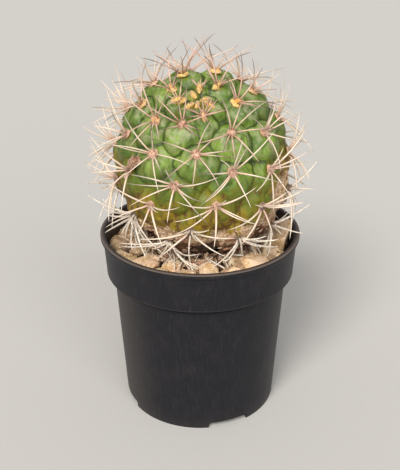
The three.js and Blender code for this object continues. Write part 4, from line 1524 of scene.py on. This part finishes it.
class CACTUS_OT_make_fallen(bpy.types.Operator):
    """Scatters dead spines on the ground round the ball, and leans some against its underside."""

    bl_idname = "cactus.make_fallen"
    bl_label = "Make Fallen Spines"

    def execute(self, context):
        settings = context.scene.cactus_spines
        tree = ground_tree()
        soup = Soup()
        shares = np.linspace(0, 1, 9)
        for spine in range(settings.fallen):
            azimuth = 360 * draw(spine, 91, 1)
            leaning = spine % 2 > 0
            if leaning:
                start = from_front(azimuth, lerp(*LEANING_STARTS, draw(spine, 91, 2)))
                azimuth += 50 * (draw(spine, 91, 3) - 0.5)
                end = from_front(azimuth, lerp(*LEANING_ENDS, draw(spine, 91, 4)))
            else:
                start = from_front(azimuth, lerp(*FALLEN_STARTS, draw(spine, 91, 2)))
                turn = 2 * math.pi * draw(spine, 91, 3)
                toward = np.array([math.cos(turn), math.sin(turn), 0])
                end = start + lerp(*FALLEN_LENGTHS, draw(spine, 91, 4)) * toward
            path = lerp(start, end, shares[:, None])
            aside = unit(np.array([start[1] - end[1], end[0] - start[0], 0]))
            path += np.outer(1 - (2 * shares - 1) ** 2, aside) * 3 * (draw(spine, 91, 5) - 0.5)
            ground = [ground_height(tree, x, y) for x, y, _ in path]
            if None in ground:
                continue
            ground = np.array(ground)
            far_end = underside(end[0], end[1]) if leaning else ground[-1]
            chord = lerp(ground[0], far_end, shares)
            path[:, 2] = chord + max(0, (ground - chord).max()) + 0.25
            farthest = np.hypot(path[:, 0], path[:, 1]).max()
            if path[:, 2].max() > HIGHEST_FALLEN or farthest > FARTHEST_FALLEN:
                continue
            radii = lerp(0.46, 0.12, shares[:-1]) * (0.7 + 0.6 * draw(spine, 92, 1))
            vertices, faces = tapered_tube(path, radii, settings.sides)
            age = 0.60 + 0.4 * draw(spine, 92, 2)
            soup.add(vertices, faces, along=along_tube(shares, settings.sides), age=age, darkness=0.0)
        fallen = soup.make("fallen_spines")
        finish_piece(fallen, spine_horn(settings), "spines")
        return {"FINISHED"}


def plate_on_ball(plate, outward):
    """Middle and facing of a plate that still hangs on the underside of the ball."""
    highest = 34 - 12 * max(0, outward[0])
    below = math.radians(lerp(highest, LOWEST_PLATE_ANGLE, draw(plate, 71, 2)))
    face = outward * math.cos(below) - np.array([0, 0, math.sin(below)])
    centre = BALL_CENTRE + face * (surface_radius(face[None])[0] + 0.8 * draw(plate, 71, 3))
    return centre, face + 0.5 * np.array([draw(plate, 71, k) - 0.5 for k in (7, 8, 9)])


def plate_on_ground(plate, outward):
    """Middle and facing of a plate that lies round the neck."""
    centre = lerp(*PLATE_SPREAD, draw(plate, 71, 2)) * outward
    centre[2] = lerp(*PLATE_HEIGHTS, draw(plate, 71, 3) ** 1.5)
    return centre, outward * 0.9 + np.array([0, 0, lerp(-0.4, 0.9, draw(plate, 71, 5))])


class CACTUS_OT_make_cork(bpy.types.Operator):
    """Makes the shed plates of corky skin that lie round the neck, one over another."""

    bl_idname = "cactus.make_cork"
    bl_label = "Make Cork Plates"

    def execute(self, context):
        settings = context.scene.cactus_gravel
        ball, faces = icosphere(2)
        soup = Soup()
        for plate in range(settings.plates):
            on_ball = plate % 2 > 0
            azimuth = 360 * draw(plate, 71, 1)
            outward = from_front(azimuth, 1)
            side = np.array([-outward[1], outward[0], 0.5 * (draw(plate, 71, 4) - 0.5)])
            centre, face = plate_on_ball(plate, outward) if on_ball else plate_on_ground(plate, outward)
            basis = np.stack([unit(side), unit(np.cross(face, side)), unit(face)])
            size = lerp(*PLATE_SIZES, draw(plate, 71, 6)) * PLATE_SHAPE
            rough = noise_at(ball * size + 3.1 * plate, 1.3) + 0.5 * noise_at(ball * size - plate, 0.6)
            places = centre + (ball * size * (1 + 0.5 * rough)[:, None]) @ basis
            soup.add(places, faces, paleness=draw(plate, 72, 1) ** (0.8 if on_ball else 1.2))
        plates = soup.make("cork_plates")
        finish_piece(plates, flaked_cork(settings), "cactus_flesh")
        return {"FINISHED"}


# Stage
def softbox(name, toward, spread, energy, colour):
    """A distant softbox: even over the whole floor, with shadows as soft as its spread in degrees."""
    light = bpy.data.lights.new(name, "SUN")
    light.angle = math.radians(spread)
    light.energy = energy
    light.color = colour
    lamp = bpy.data.objects.new(name, light)
    lamp.rotation_euler = Vector(toward).to_track_quat("-Z", "Y").to_euler()
    bpy.context.scene.collection.objects.link(lamp)


class CACTUS_OT_make_stage(bpy.types.Operator):
    """Makes the floor, the soft studio lights and the camera."""

    bl_idname = "cactus.make_stage"
    bl_label = "Make Stage"

    def execute(self, context):
        settings = context.scene.cactus_stage
        corners = [(x * FLOOR_HALF, y * FLOOR_HALF, 0) for x, y in ((-1, -1), (1, -1), (1, 1), (-1, 1))]
        floor = mesh_object("floor", corners, [[0, 1, 2, 3]])
        floor.data.materials.append(painted_floor(settings))
        softbox("key_softbox", toward=(0.36, 0.88, -0.88), spread=24, energy=2.9, colour=(1.0, 0.975, 0.94))
        softbox("fill_softbox", toward=(-0.30, 0.88, -0.52), spread=50, energy=1.5, colour=(0.97, 0.98, 1.0))
        world = bpy.data.worlds.new("studio")
        world.use_nodes = True
        background = world.node_tree.nodes["Background"]
        background.inputs["Color"].default_value = (*settings.sky, 1)
        background.inputs["Strength"].default_value = SKY_STRENGTH
        context.scene.world = world
        camera = bpy.data.cameras.new("camera")
        camera.sensor_width = FRAME_HEIGHT
        camera.lens = settings.lens
        eye = bpy.data.objects.new("camera", camera)
        eye.location = (0, -settings.camera_distance, settings.camera_height)
        eye.rotation_euler = (math.pi / 2 - settings.camera_pitch, 0, 0)
        context.scene.collection.objects.link(eye)
        context.scene.camera = eye
        context.scene.view_settings.view_transform = "Standard"
        return {"FINISHED"}


OPERATORS = (
    CACTUS_OT_make_pot,
    CACTUS_OT_make_soil,
    CACTUS_OT_make_stones,
    CACTUS_OT_make_body,
    CACTUS_OT_make_neck,
    CACTUS_OT_make_areoles,
    CACTUS_OT_make_spines,
    CACTUS_OT_make_flower,
    CACTUS_OT_make_chips,
    CACTUS_OT_make_roots,
    CACTUS_OT_make_fallen,
    CACTUS_OT_make_cork,
    CACTUS_OT_make_stage,
)

SETTINGS = {
    "cactus_pot": CactusPotSettings,
    "cactus_body": CactusBodySettings,
    "cactus_spines": CactusSpineSettings,
    "cactus_areoles": CactusAreoleSettings,
    "cactus_gravel": CactusGravelSettings,
    "cactus_stage": CactusStageSettings,
}


class CACTUS_PT_sidebar(bpy.types.Panel):
    """Lists the pieces of the potted cactus."""

    bl_idname = "CACTUS_PT_sidebar"
    bl_label = "Potted Cactus"
    bl_space_type = "VIEW_3D"
    bl_region_type = "UI"
    bl_category = "Cactus"

    def draw(self, context):
        for operator in OPERATORS:
            self.layout.operator(operator.bl_idname)


def register():
    for group in SETTINGS.values():
        bpy.utils.register_class(group)
    for name, group in SETTINGS.items():
        setattr(bpy.types.Scene, name, PointerProperty(type=group))
    for operator in OPERATORS:
        bpy.utils.register_class(operator)
    bpy.utils.register_class(CACTUS_PT_sidebar)


def unregister():
    bpy.utils.unregister_class(CACTUS_PT_sidebar)
    for operator in reversed(OPERATORS):
        bpy.utils.unregister_class(operator)
    for name, group in SETTINGS.items():
        delattr(bpy.types.Scene, name)
        bpy.utils.unregister_class(group)


def main():
    register()
    for operator in OPERATORS:
        group, name = operator.bl_idname.split(".")
        getattr(getattr(bpy.ops, group), name)()


if __name__ == "__main__":
    main()
